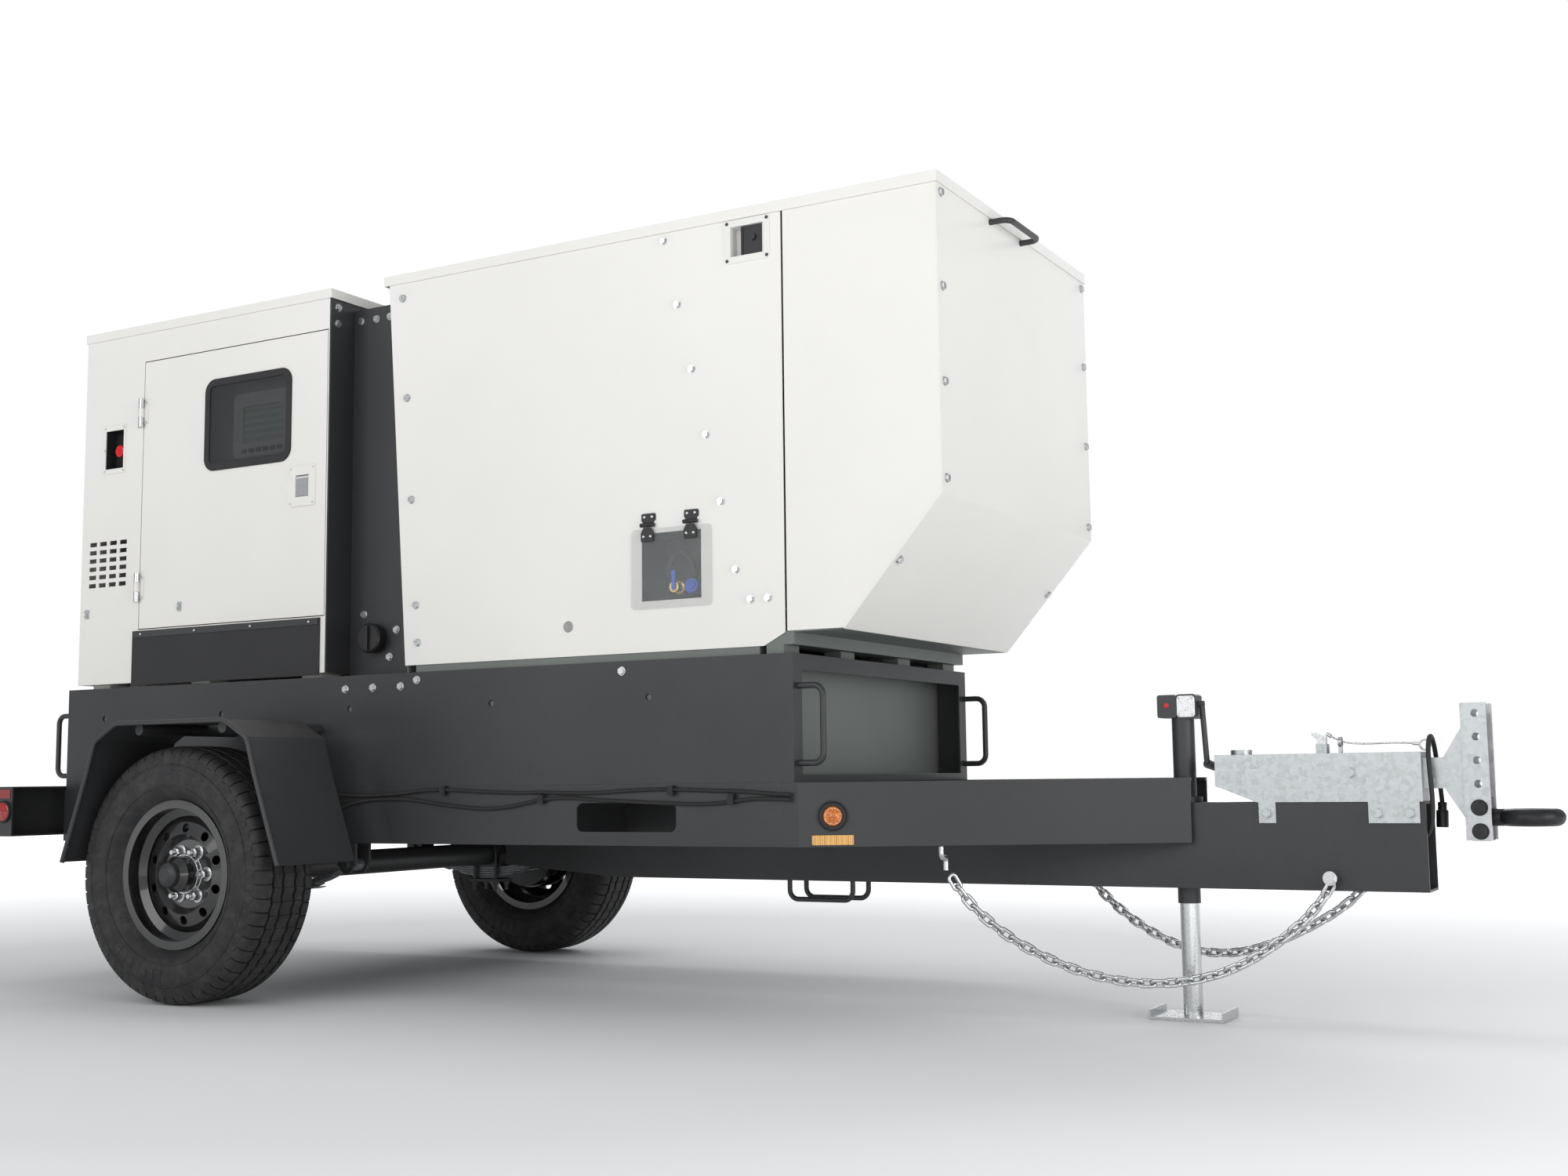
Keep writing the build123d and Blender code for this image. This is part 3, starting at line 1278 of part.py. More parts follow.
def actuator_body():
    """Housing on the beam with side straps and bolts, a reservoir cap, and a tunnel for the slide."""
    w = actuator_half_width
    outline = [(actuator_rear, beam_top + 40), (actuator_rear + 98, beam_top), (actuator_front, beam_top),
               (actuator_front, actuator_top), (actuator_rear, actuator_top)]
    body = prism_xz(outline, -w, w)
    tunnel = slide_half_width + slip
    body -= block(actuator_rear + 180, actuator_front + 1, -tunnel, tunnel, slide_bottom - slip, slide_top + slip)
    for x0, x1, holes in strap_spans:
        for side in (-1, 1):
            a, b = sorted((side * beam_half_width, side * w))
            body += block(x0, x1, a, b, beam_top - strap_drop, beam_top)
            for x in holes:
                for head in bolt_heads([(x, side * w, beam_top - 26)], (0, side, 0), bolt_across, bolt_thickness):
                    body += head
    cap = rod((reservoir_x, 0, actuator_top), (reservoir_x, 0, actuator_top + reservoir_height), reservoir_radius)
    for side in (-1, 1):
        for head in bolt_heads([(housing_bolt_x, side * w, housing_bolt_z)], (0, side, 0), bolt_across,
                               bolt_thickness):
            body += head
    guard = pipe((guide_x, 0, guide_z), (guide_x + 8, 0, guide_z), guide_radius, 8)
    body += block(guide_x, guide_x + 8, -6, 6, actuator_top, guide_z - 10) + guard
    lug = block(2955, 2980, 10, 18, actuator_top, 672) + block(2955, 2980, -18, -10, actuator_top, 672)
    body += lug - rod((lever_x, -20, lever_z), (lever_x, 20, lever_z), 5)
    body += rod((lever_x, -20, lever_z), (lever_x, 20, lever_z), 5)
    return body + cap


def breakaway_lever():
    """Emergency brake lever on its pin between the two lugs."""
    outline = [(2960, 654), (2973, 654), (2977, 664), (2977, 690), (2958, 700), (2944, 700), (2944, 692),
               (2955, 684), (2957, 664)]
    lever = prism_xz(outline, -9, 9)
    return lever - rod((lever_x, -20, lever_z), (lever_x, 20, lever_z), 5 + running)


def breakaway_cable():
    """Wire cable from the lever through its guide to a ring above the slide."""
    points = [(2982, 0, 694), (3010, 0, 676), (3060, 2, 670), (3120, 5, 672), (3172, 5, 671), (3192, 3, 668)]
    wire = cable(points, 2.5)
    ring = Pos(3204, 3, 666) * Rot(90, 0, 0) * Torus(12, 2.5)
    ferrule = rod((2976, 0, 698), (2990, 0, 689), 4.5)
    return [wire, ring, ferrule]


def coupler_slide():
    """Slide bar, upright channel with its column of holes, and the gussets."""
    w = slide_half_width
    bar = block(2960, channel_rear, -w, w, slide_bottom, slide_top)
    bar -= block(2959, channel_rear - 20, -w + 7, w - 7, slide_bottom + 7, slide_top - 7)
    channel = block(channel_rear, channel_rear + channel_depth, -channel_half_width, channel_half_width,
                    channel_bottom, channel_top)
    inner = channel_half_width - channel_plate
    channel -= block(channel_rear + channel_plate, channel_rear + channel_depth + 1, -inner, inner,
                     channel_bottom - 1, channel_top + 1)
    for k in range(6):
        z = first_bolt_z + k * bolt_pitch
        x = channel_rear + 32
        channel -= rod((x, -channel_half_width - 1, z), (x, channel_half_width + 1, z), coupler_hole_radius)
    slide = bar + channel
    for side in (-1, 1):
        a, b = sorted((side * (w - 10), side * w))
        slide += prism_xz([(3249, slide_top), (channel_rear, slide_top), (channel_rear, slide_top + 72)], a, b)
        slide += prism_xz([(3249, slide_bottom), (channel_rear, slide_bottom - 72), (channel_rear, slide_bottom)], a, b)
    return slide


def lunette_ring():
    """Forged towing eye on a block that is bolted across the channel."""
    inner = channel_half_width - channel_plate - slip
    x0, x1 = channel_rear + channel_plate + slip, channel_rear + channel_depth - 5
    base = block(x0, x1, -inner, inner, first_bolt_z - 22, first_bolt_z + bolt_pitch + 22)
    ring = Pos(ring_x, 0, ring_z) * Torus(ring_mean_radius, ring_section_radius)
    neck = rod((x1 - 2, 0, ring_z), (ring_x - ring_mean_radius, 0, ring_z), ring_section_radius)
    eye = base + ring + neck
    eye -= rod((ring_x, 0, ring_z - 30), (ring_x, 0, ring_z + 30), eye_radius)
    bolts = []
    x = channel_rear + 32
    for k in range(2):
        z = first_bolt_z + k * bolt_pitch
        shank = rod((x, -channel_half_width - 2, z), (x, channel_half_width + 2, z), coupler_hole_radius - running)
        eye -= rod((x, -inner - 1, z), (x, inner + 1, z), coupler_hole_radius - running)
        head = bolt_heads([(x, -channel_half_width, z)], (0, -1, 0), 27, 14)[0]
        nut = bolt_heads([(x, channel_half_width, z)], (0, 1, 0), 27, 16)[0]
        bolts.append(shank + head + nut)
    return [eye] + bolts


# ------------------------------------------------------------------ chains, wiring


def chain_link():
    """One oval link in its own plane, with its long way along X."""
    reach = chain_inner / 2 + chain_wire - link_half_width
    r = link_half_width
    section = Plane(origin=(0, -r, 0), z_dir=(1, 0, 0)) * Circle(chain_wire)
    outline = Wire([
        Line((0, -r), (reach, -r)),
        ThreePointArc((reach, -r), (reach + r, 0), (reach, r)),
        Line((reach, r), (-reach, r)),
        ThreePointArc((-reach, r), (-reach - r, 0), (-reach, -r)),
        Line((-reach, -r), (0, -r)),
    ])
    return sweep(section, path=outline)


def chain(route):
    """Interlocked links along a hand-laid route, each turned a quarter from the last."""
    line = Spline(*[Vector(*p) for p in route])
    pitch = chain_inner - 0.8
    link = chain_link()
    links = []
    for k in range(int(line.length / pitch)):
        share = (k + 0.5) * pitch / line.length
        here, along = line @ share, line % share
        frame = Plane(origin=here, x_dir=along, z_dir=along.cross(Vector(0, 1, 0)))
        links.append(link.moved(frame.location * Rot(45 + 90 * (k % 2), 0, 0)))
    return links


def safety_chains():
    """Two chains from the beam's front, stowed with their hooks on the rails' bottom flanges."""
    near = [(2990, -78, 340), (2945, -82, 275), (2880, -88, 215), (2745, -105, 132), (2620, -130, 100),
            (2480, -165, 104), (2340, -210, 148), (2210, -255, 228), (2130, -290, 318), (2104, -305, 372)]
    far = [(3045, 78, 340), (3000, 82, 292), (2910, 95, 232), (2820, 110, 188), (2722, 130, 156), (2585, 165, 152),
           (2435, 205, 205), (2310, 250, 290), (2262, 275, 340), (2245, 285, 372)]
    pieces = chain(near) + chain(far)
    for x, side, reach in ((2990, -1, 1), (3045, 1, 1)):
        y = side * beam_half_width
        pieces.append(rod((x, y, 354), (x, y + side * 30, 354), 9))
        pieces += bolt_heads([(x, y + side * 30, 354)], (0, side, 0), 24, 14)
    for x, y in ((2100, -312), (2240, 292)):
        line = [(x, y, 372), (x, y, 404), (x, y + math.copysign(26, y), 404), (x, y + math.copysign(26, y), 432)]
        pieces.append(bent_rod(line, 7, [11, 11]))
    return pieces


def wiring_harness():
    """Two wiring looms clipped along the right rail, from the mudguard to the grommet at the bend."""
    y = -rail_half_width - harness_radius - 1
    lower = [(270, 530), (320, 545), (375, 556), (440, 561), (500, 562), (560, 560), (625, 551), (690, 543),
             (760, 536), (835, 532), (900, 536), (960, 546), (1020, 557), (1085, 562), (1150, 559), (1220, 553),
             (1290, 551), (1360, 547), (1430, 545), (1500, 542), (1560, 543), (1620, 549), (1680, 556), (1740, 555)]
    upper = [(262, 577), (320, 573), (380, 571), (450, 572), (520, 576), (590, 583), (660, 587), (730, 584),
             (800, 580), (870, 577), (940, 575), (1010, 576), (1080, 574), (1150, 573), (1220, 574), (1290, 578),
             (1360, 581), (1430, 581), (1500, 579), (1570, 576), (1630, 575), (1690, 571), (1740, 567)]
    pieces = [cable([(x, y, z) for x, z in lower] + [(1790, y - 3, 553)], harness_radius),
              cable([(x, y, z) for x, z in upper] + [(1790, y - 3, 565)], harness_radius)]
    for x, z in ((681, 586), (1021, 560), (1437, 580), (1618, 557)):
        clip = block(x - 9, x + 9, -rail_half_width - 16, -rail_half_width, z - 14, z + 10)
        pieces.append(clip - block(x - 10, x + 10, -rail_half_width - 13.5, -rail_half_width, z - 12.5, z + 8.5))
    return pieces


def brake_lead():
    """Trailer lead from the beam's open front, over the slide, down to its parked plug."""
    points = [(3180, -22, 440), (3205, -30, 452), (3220, -44, 482), (3224, -54, 522), (3224, -59, 566),
              (3221, -58, 612), (3219, -50, 652), (3218, -30, 678), (3218, -2, 688), (3218, 26, 680),
              (3219, 49, 654), (3221, 58, 612), (3225, 59, 570), (3228, 56, 530)]
    lead = cable(points, 5.5)
    plug = rod((3228, 56, 530), (3226, 54, 470), 14)
    return [lead, plug]


# ------------------------------------------------------------------ write every node
def build():
    rail = frame_rail()
    save("frame_rail_left", *rail)
    save("frame_rail_right", *[mirrored(piece) for piece in rail])
    save("frame_crossmembers", *crossmembers(), rear_bumper())
    save("tongue_beam", tongue_beam(), *tie_down_loops())
    save("lamps", *lamps())
    guard = fender()
    save("fenders", *both_sides(guard))
    save("axle_beam", axle_beam(), *u_bolts())
    save("leaf_springs", *leaf_springs())
    save("spring_hangers", *spring_hangers())
    right_tyre, right_wheel = tyre(), wheel()
    save("tyre_right", right_tyre)
    save("tyre_left", mirrored(right_tyre))
    save("wheel_right", *right_wheel)
    save("wheel_left", *[mirrored(piece) for piece in right_wheel])
    save("base_frame", base_frame())
    save("fuel_tank", fuel_tank())
    save("filler_neck", filler_neck())
    save("fuel_cap", fuel_cap())
    save("grab_handles", *d_handles())
    save("side_panel_right", side_panel_right())
    save("side_panel_left", side_panel_left())
    save("nose_cheeks", *both_sides(nose_cheek()))
    save("front_panel", front_panel())
    save("enclosure_roof", enclosure_roof())
    save("enclosure_floor", *enclosure_floor())
    save("intake_box", intake_box())
    save("panel_bolts", *panel_bolts())
    fixed_flap, moving_flap = flap_hinges()
    save("access_flap", access_flap(), *moving_flap)
    cup, paddle = place_latch(flush_latch(-1), latch_x, latch_z)
    save("flush_latch_cup", cup)
    save("flush_latch_paddle", paddle)
    cup, paddle = place_latch([mirrored(piece) for piece in flush_latch(1)], door_latch_x, door_latch_z)
    save("service_latch_paddle", paddle)
    service = pan(service_door_rear, service_door_front, service_door_bottom, service_door_top,
                  -canopy_half_width, door_depth)
    service = mirrored(service) - latch_hole(door_latch_x, door_latch_z, 1)
    fixed, moving_control, moving_service = door_hinges()
    save("service_door", service, cup, *moving_service)
    save("hinge_fixed_halves", *fixed, *fixed_flap)
    save("control_cabinet", *control_cabinet(), estop_housing())
    save("cabinet_roof", cabinet_roof())
    plate, paddle = door_latch()
    save("control_door", control_door(), plate, *moving_control)
    save("door_window", *door_window())
    save("door_latch_paddle", paddle)
    save("cable_curtain", *cable_curtain())
    save("estop_button", estop_button())
    save("control_panel", *control_panel(), *power_lugs())
    save("breaker_lever", breaker_lever())
    save("engine_skid", *engine_skid())
    save("engine_block", engine_block())
    save("alternator", alternator())
    save("cooling_fan", cooling_fan())
    save("radiator", radiator())
    save("silencer", silencer())
    save("air_cleaner", air_cleaner())
    save("battery", *battery())
    save("jack_tube", jack_tube())
    save("jack_leg", jack_leg())
    save("jack_crank", jack_crank())
    save("actuator_body", actuator_body())
    save("breakaway_lever", breakaway_lever())
    save("breakaway_cable", *breakaway_cable())
    save("coupler_slide", coupler_slide())
    save("lunette_ring", *lunette_ring())
    save("safety_chains", *safety_chains())
    save("wiring_harness", *wiring_harness())
    save("brake_lead", *brake_lead())


build()
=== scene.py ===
# %% [markdown]
# # A towable diesel generator
# This file dresses a finished mechanical model. The model already has every part at its real size, and its
# moving parts ride on named bodies. Here each part gets its finish, and the small things that a drawing
# leaves out are added: tread, screws, lenses, hasps.
#
# ## The frame
# The first step loads the model.

import json
import math

import bmesh
import bpy
from mathutils import Matrix, Vector

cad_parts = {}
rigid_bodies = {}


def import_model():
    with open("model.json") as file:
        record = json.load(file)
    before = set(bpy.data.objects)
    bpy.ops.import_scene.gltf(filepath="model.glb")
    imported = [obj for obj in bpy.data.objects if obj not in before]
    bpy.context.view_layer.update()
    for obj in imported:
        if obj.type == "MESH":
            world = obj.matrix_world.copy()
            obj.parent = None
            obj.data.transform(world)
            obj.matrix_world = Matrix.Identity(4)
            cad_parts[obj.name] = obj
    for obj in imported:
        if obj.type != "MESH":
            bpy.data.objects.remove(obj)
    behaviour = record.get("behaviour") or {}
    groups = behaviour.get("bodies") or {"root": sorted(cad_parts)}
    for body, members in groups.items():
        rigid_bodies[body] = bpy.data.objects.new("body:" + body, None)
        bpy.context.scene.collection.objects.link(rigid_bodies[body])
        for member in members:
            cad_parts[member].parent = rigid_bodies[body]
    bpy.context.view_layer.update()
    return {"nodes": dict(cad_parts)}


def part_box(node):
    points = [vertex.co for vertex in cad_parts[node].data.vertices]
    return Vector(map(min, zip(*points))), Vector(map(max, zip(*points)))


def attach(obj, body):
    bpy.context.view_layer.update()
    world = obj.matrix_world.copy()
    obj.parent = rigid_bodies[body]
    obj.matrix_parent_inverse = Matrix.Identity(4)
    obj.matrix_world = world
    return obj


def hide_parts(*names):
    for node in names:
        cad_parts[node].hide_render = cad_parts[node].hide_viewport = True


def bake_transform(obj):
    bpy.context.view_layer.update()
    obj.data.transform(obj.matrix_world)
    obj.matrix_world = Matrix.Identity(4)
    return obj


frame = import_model()
nodes = frame["nodes"]

# %% [markdown]
# ## Camera
# The trailer is seen from low down near its hitch, so the drawbar runs towards the viewer and
# the canopy stands tall behind it. A camera could be aimed with a constraint, but three angles
# and a place say the same thing and stay readable. The lens is a mild wide angle.

# %% Place the camera
camera_place = Vector((3.918, -4.375, 0.604))
camera_turn = math.radians(29.22)
camera_rise = math.radians(6.22)
camera_tilt = math.radians(-0.72)


def aim(place, turn, rise, tilt):
    """The matrix of a camera that looks along a heading, raised and tilted."""
    ahead = Vector((-math.sin(turn) * math.cos(rise), math.cos(turn) * math.cos(rise), math.sin(rise)))
    right = Vector((math.cos(turn), math.sin(turn), 0))
    up = right.cross(ahead)
    right, up = math.cos(tilt) * right + math.sin(tilt) * up, math.cos(tilt) * up - math.sin(tilt) * right
    turned = Matrix((right, up, -ahead)).transposed().to_4x4()
    return Matrix.Translation(place) @ turned


camera = bpy.data.objects.new("camera", bpy.data.cameras.new("camera"))
bpy.context.scene.collection.objects.link(camera)
camera.matrix_world = aim(camera_place, camera_turn, camera_rise, camera_tilt)
camera.data.lens = 40.22
camera.data.sensor_width = 36
camera.data.clip_end = 300
bpy.context.scene.camera = camera
print("camera at", [round(v, 2) for v in camera_place])

# %% [markdown]
# ## Light
# A white machine on a white sweep is lit with large soft boxes: a broad key from the side that
# faces the viewer, a weaker one beyond the nose, and a long one overhead that draws the roof
# edge. The sky is plain and pale and fills the shadows. The sky that the lens sees is brighter
# than the sky that lights the machine, which keeps the backdrop clean.

# %% Soft boxes and sky
soft_boxes = {
    "key": ((0.2, -6.4, 2.9), (0.3, 0, 0.9), (6.5, 3.0), 138),
    "nose": ((7.2, -1.8, 1.6), (1.8, 0, 1.0), (3.0, 2.4), 84),
    "overhead": ((0.8, 0.6, 6.4), (0.8, 0, 1.0), (6.0, 2.2), 62),
    "low_fill": ((4.6, -4.2, 0.5), (1.0, -0.4, 0.5), (3.0, 0.8), 16),
    "far_side": ((0.5, 6.4, 3.4), (0.5, 0, 1.0), (6.0, 2.4), 130),
}


def soft_box(name, place, target, size, watts):
    """A rectangular area light that looks at a point."""
    light = bpy.data.lights.new(name, "AREA")
    light.shape = "RECTANGLE"
    light.size, light.size_y = size
    light.energy = watts
    lamp = bpy.data.objects.new(name, light)
    bpy.context.scene.collection.objects.link(lamp)
    lamp.location = place
    lamp.rotation_euler = (Vector(target) - Vector(place)).to_track_quat("-Z", "Y").to_euler()
    return lamp


for name, (place, target, size, watts) in soft_boxes.items():
    soft_box(name, place, target, size, watts)

sky = bpy.data.worlds.new("sky")
sky.use_nodes = True
bpy.context.scene.world = sky
sky_light = sky.node_tree.nodes["Background"]
sky_light.inputs["Color"].default_value = (0.90, 0.93, 0.96, 1)
sky_light.inputs["Strength"].default_value = 0.46
sky_seen = sky.node_tree.nodes.new("ShaderNodeBackground")
sky_seen.inputs["Color"].default_value = (1, 1, 1, 1)
sky_seen.inputs["Strength"].default_value = 1.0
ray = sky.node_tree.nodes.new("ShaderNodeLightPath")
either = sky.node_tree.nodes.new("ShaderNodeMixShader")
sky.node_tree.links.new(ray.outputs["Is Camera Ray"], either.inputs[0])
sky.node_tree.links.new(sky_light.outputs[0], either.inputs[1])
sky.node_tree.links.new(sky_seen.outputs[0], either.inputs[2])
sky.node_tree.links.new(either.outputs[0], sky.node_tree.nodes["World Output"].inputs[0])
bpy.context.scene.view_settings.view_transform = "Standard"
print("lights:", ", ".join(soft_boxes))

# %% [markdown]
# ## Writing materials as sums
# A material is a graph of small sums. Wiring every Math node by hand hides the idea, so one
# small class wraps a socket and lets Python's own + - * / add the nodes. A second class is a
# material in the making: its single `node` method adds any other node, with its settings
# first and its sockets after.

# %% A socket that can be added and multiplied
class Value:
    """A number given out by a node. Arithmetic on it adds Math nodes."""

    def __init__(self, finish, socket):
        self.finish = finish
        self.socket = socket

    def sum_with(self, operation, first, second):
        return self.finish.node("ShaderNodeMath", {0: first, 1: second}, operation=operation)

    def __add__(self, other):
        return self.sum_with("ADD", self, other)

    def __radd__(self, other):
        return self.sum_with("ADD", other, self)

    def __sub__(self, other):
        return self.sum_with("SUBTRACT", self, other)

    def __rsub__(self, other):
        return self.sum_with("SUBTRACT", other, self)

    def __mul__(self, other):
        return self.sum_with("MULTIPLY", self, other)

    def __rmul__(self, other):
        return self.sum_with("MULTIPLY", other, self)

    def __pow__(self, other):
        return self.sum_with("POWER", self, other)


# %% A material in the making
class Finish:
    """A material with one Principled shader and a few ways to feed it."""

    def __init__(self, name, **sockets):
        self.material = bpy.data.materials.new(name)
        self.material.use_nodes = True
        self.tree = self.material.node_tree
        self.shader = self.tree.nodes["Principled BSDF"]
        for label, value in sockets.items():
            self.feed(label.replace("_", " ").title(), value)

    def feed(self, label, value):
        """Give a shader socket a number, a colour or a link."""
        self.plug(value, self.shader.inputs[label.replace("Ior", "IOR")])

    def plug(self, value, socket):
        if isinstance(value, Value):
            self.tree.links.new(value.socket, socket)
        elif isinstance(value, (tuple, list)) and socket.type == "RGBA":
            socket.default_value = (*value, 1)[:4]
        else:
            socket.default_value = value

    def node(self, kind, sockets=None, output=0, stops=None, **settings):
        """Any node: its settings first, then its sockets. Gives one output back."""
        made = self.tree.nodes.new(kind)
        for label, value in settings.items():
            setattr(made, label, value)
        if stops:
            for k, (position, level) in enumerate(stops):
                point = made.color_ramp.elements[k] if k < 2 else made.color_ramp.elements.new(position)
                point.position = position
                point.color = (level, level, level, 1)
        for key, value in (sockets or {}).items():
            self.plug(value, made.inputs[key])
        return Value(self, made.outputs[output])

    def spot(self):
        """Where a point is on its own piece, in metres."""
        return self.node("ShaderNodeTexCoord", output="Object")

    def part_of(self, vector, axis):
        return self.node("ShaderNodeSeparateXYZ", {0: vector}, output=axis)

    def upward(self):
        """1 where the surface looks up, 0 where it is upright or looks down."""
        looks = self.part_of(self.node("ShaderNodeNewGeometry", output="Normal"), "Z")
        return self.ramp(looks, (0.45, 0), (0.95, 1))

    def ramp(self, value, *stops):
        return self.node("ShaderNodeValToRGB", {0: value}, stops=stops)

    def noise(self, scale, detail=3.0, roughness=0.55, stretch=None):
        where = self.spot()
        if stretch:
            where = self.node("ShaderNodeMapping", {"Vector": where, "Scale": stretch})
        return self.node("ShaderNodeTexNoise", {"Vector": where, "Scale": scale, "Detail": detail,
                                                "Roughness": roughness})

    def cells(self, scale, feature="F1"):
        return self.node("ShaderNodeTexVoronoi", {"Vector": self.spot(), "Scale": scale}, feature=feature)

    def colours(self, share, first, second):
        """Mix two colours by a share from 0 to 1."""
        return self.node("ShaderNodeMix", {0: share, 6: first, 7: second}, output=2, data_type="RGBA")

    def worn_edge(self, width):
        """1 along sharp edges, 0 on the flat."""
        rounded = self.node("ShaderNodeBevel", {"Radius": width}, samples=4)
        flat = self.node("ShaderNodeNewGeometry", output="Normal")
        agree = self.node("ShaderNodeVectorMath", {0: rounded, 1: flat}, output="Value",
                          operation="DOT_PRODUCT")
        return self.ramp(agree, (0.80, 1), (0.985, 0))

    def relief(self, height, distance, strength=1.0, rounding=0):
        """Bump the surface by a height map; rounding softens the drawn edges first."""
        sockets = {"Height": height, "Distance": distance, "Strength": strength}
        if rounding:
            sockets["Normal"] = self.node("ShaderNodeBevel", {"Radius": rounding}, samples=4)
        self.feed("Normal", self.node("ShaderNodeBump", sockets))


print("material helpers ready")

# %% [markdown]
# ## Painted sheet
# The canopy and the cabinet are powder coated: the coat is even, very slightly pebbled like
# orange peel, and dulls where dust settles near the bottom and on ledges. The colour is a warm
# off-white. Flat white would look like paper, so a slow cloud of tone and a fine pebble are
# mixed in, and the edges are rounded by a millimetre in the shading.

# %% Off-white and black powder coats
dust_colour = (0.42, 0.39, 0.34)


def powder_coat(name, colour, roughness, pebble, dust, shade=0.06, edge=None):
    """A powder coat with pebble, settled dust and, if asked, brighter worn edges."""
    coat = Finish(name, roughness=roughness, specular_ior_level=0.5)
    cloud = coat.noise(1.7, 4)
    darker = tuple(c * (1 - shade) for c in colour)
    tone = coat.colours(coat.ramp(cloud, (0.35, 0), (0.65, 1)), darker, colour)
    settled = coat.upward() * coat.ramp(coat.noise(9, 6, 0.7), (0.35, 0), (0.75, 1)) * dust
    tone = coat.colours(settled, tone, dust_colour)
    if edge:
        scuffed = coat.worn_edge(0.0025) * coat.ramp(coat.noise(38, 5, 0.7), (0.48, 0), (0.62, 1))
        tone = coat.colours(scuffed * 0.55, tone, edge)
    coat.feed("Base Color", tone)
    coat.feed("Roughness", roughness + coat.noise(3.1, 5) * 0.10 - 0.05 + settled * 0.35)
    coat.relief(coat.noise(420, 2), 0.0004 * pebble, 0.6, rounding=0.0012)
    return coat.material


white_coat = powder_coat("white_powder_coat", (0.78, 0.765, 0.73), 0.34, 1.0, 0.12, 0.035)
black_coat = powder_coat("black_powder_coat", (0.034, 0.035, 0.037), 0.42, 1.6, 0.10, 0.25,
                         edge=(0.10, 0.10, 0.10))
grey_coat = powder_coat("tank_grey_coat", (0.150, 0.168, 0.155), 0.46, 1.6, 0.12, 0.15,
                        edge=(0.2, 0.2, 0.2))
print("coats:", white_coat.name, black_coat.name, grey_coat.name)

# %% [markdown]
# ## Bare and plated metal
# Hot-dip galvanising freezes into spangle, patches of crystal that each catch the light a
# little differently. Voronoi cells give that. Bright zinc plate on bolts and chain is finer
# and shinier, with a faint yellow or blue cast, and forged parts are scaled and dull.

# %% Galvanised, zinc, gold chromate, forged and chromed steel
def plated(name, colour, roughness, cell, contrast, marks=0.0008):
    """Metal with crystal patches and fine handling marks."""
    metal = Finish(name, metallic=1.0, roughness=roughness)
    patch = metal.node("ShaderNodeSeparateColor", {0: metal.node(
        "ShaderNodeTexVoronoi", {"Vector": metal.spot(), "Scale": cell}, output="Color")})
    duller = tuple(c * (1 - contrast) for c in colour)
    grain = metal.noise(cell * 0.6, 5, 0.65)
    metal.feed("Base Color", metal.colours(patch * 0.6 + grain * 0.4, duller, colour))
    metal.feed("Roughness", roughness + (patch - 0.5) * 0.16 + (grain - 0.5) * 0.2)
    metal.relief(metal.noise(260, 4, 0.6), marks, 0.45, rounding=0.0008)
    return metal.material


galvanised = plated("galvanised_steel", (0.56, 0.585, 0.59), 0.38, 95, 0.30)
zinc_plate = plated("zinc_plate", (0.70, 0.71, 0.715), 0.27, 320, 0.18, 0.0004)
gold_chromate = plated("gold_chromate", (0.72, 0.49, 0.20), 0.30, 260, 0.30, 0.0004)
chrome_plate = plated("chromed_latch", (0.80, 0.80, 0.81), 0.16, 500, 0.08, 0.0002)


def forged(name, colour, roughness):
    """Dark forged or spring steel: scale, pits and rubbed high spots."""
    steel = Finish(name, metallic=0.65, roughness=roughness)
    scale = steel.noise(55, 8, 0.72)
    rubbed = steel.worn_edge(0.003)
    brighter = tuple(min(1, c * 4 + 0.05) for c in colour)
    base = steel.colours(steel.ramp(scale, (0.4, 0), (0.7, 1)), colour, tuple(c * 1.9 for c in colour))
    steel.feed("Base Color", steel.colours(rubbed * 0.35, base, brighter))
    steel.feed("Roughness", roughness + (scale - 0.5) * 0.4)
    steel.relief(scale, 0.0010, 0.5, rounding=0.001)
    return steel.material


forged_steel = forged("forged_steel", (0.022, 0.022, 0.024), 0.42)
spring_steel = forged("spring_steel", (0.13, 0.135, 0.14), 0.45)
print("metals:", galvanised.name, zinc_plate.name, forged_steel.name)

# %% [markdown]
# ## Gloss paint on the wheels
# The wheels are dipped in gloss black: a deep colour under a clear skin that mirrors the
# light boxes in long streaks. A coat layer over a dark base gives that. Brake dust and road
# film are worked into the base by noise.

# %% Wheel paint and engine paint
def gloss_paint(name, colour, film, base_roughness=0.22):
    paint = Finish(name, coat_weight=0.9, coat_roughness=0.07, specular_ior_level=0.5)
    streak = paint.noise(14, 6, 0.6)
    paint.feed("Base Color", paint.colours(paint.ramp(streak, (0.45, 0), (0.85, 0.6)), colour, film))
    paint.feed("Roughness", base_roughness + streak * 0.2)
    paint.relief(paint.noise(180, 2), 0.0003, 0.4, rounding=0.0015)
    return paint.material


wheel_gloss = gloss_paint("wheel_gloss_black", (0.006, 0.006, 0.0065), (0.030, 0.028, 0.025))
engine_enamel = gloss_paint("engine_enamel", (0.06, 0.08, 0.09), (0.03, 0.028, 0.022), 0.4)
print("gloss paints ready")

# %% [markdown]
# ## Rubber and plastic
# Tyre rubber is dark grey rather than black, and dry dust sits in the tread. Hose rubber and
# moulded plastic are darker and carry a fine grain left by their moulds.

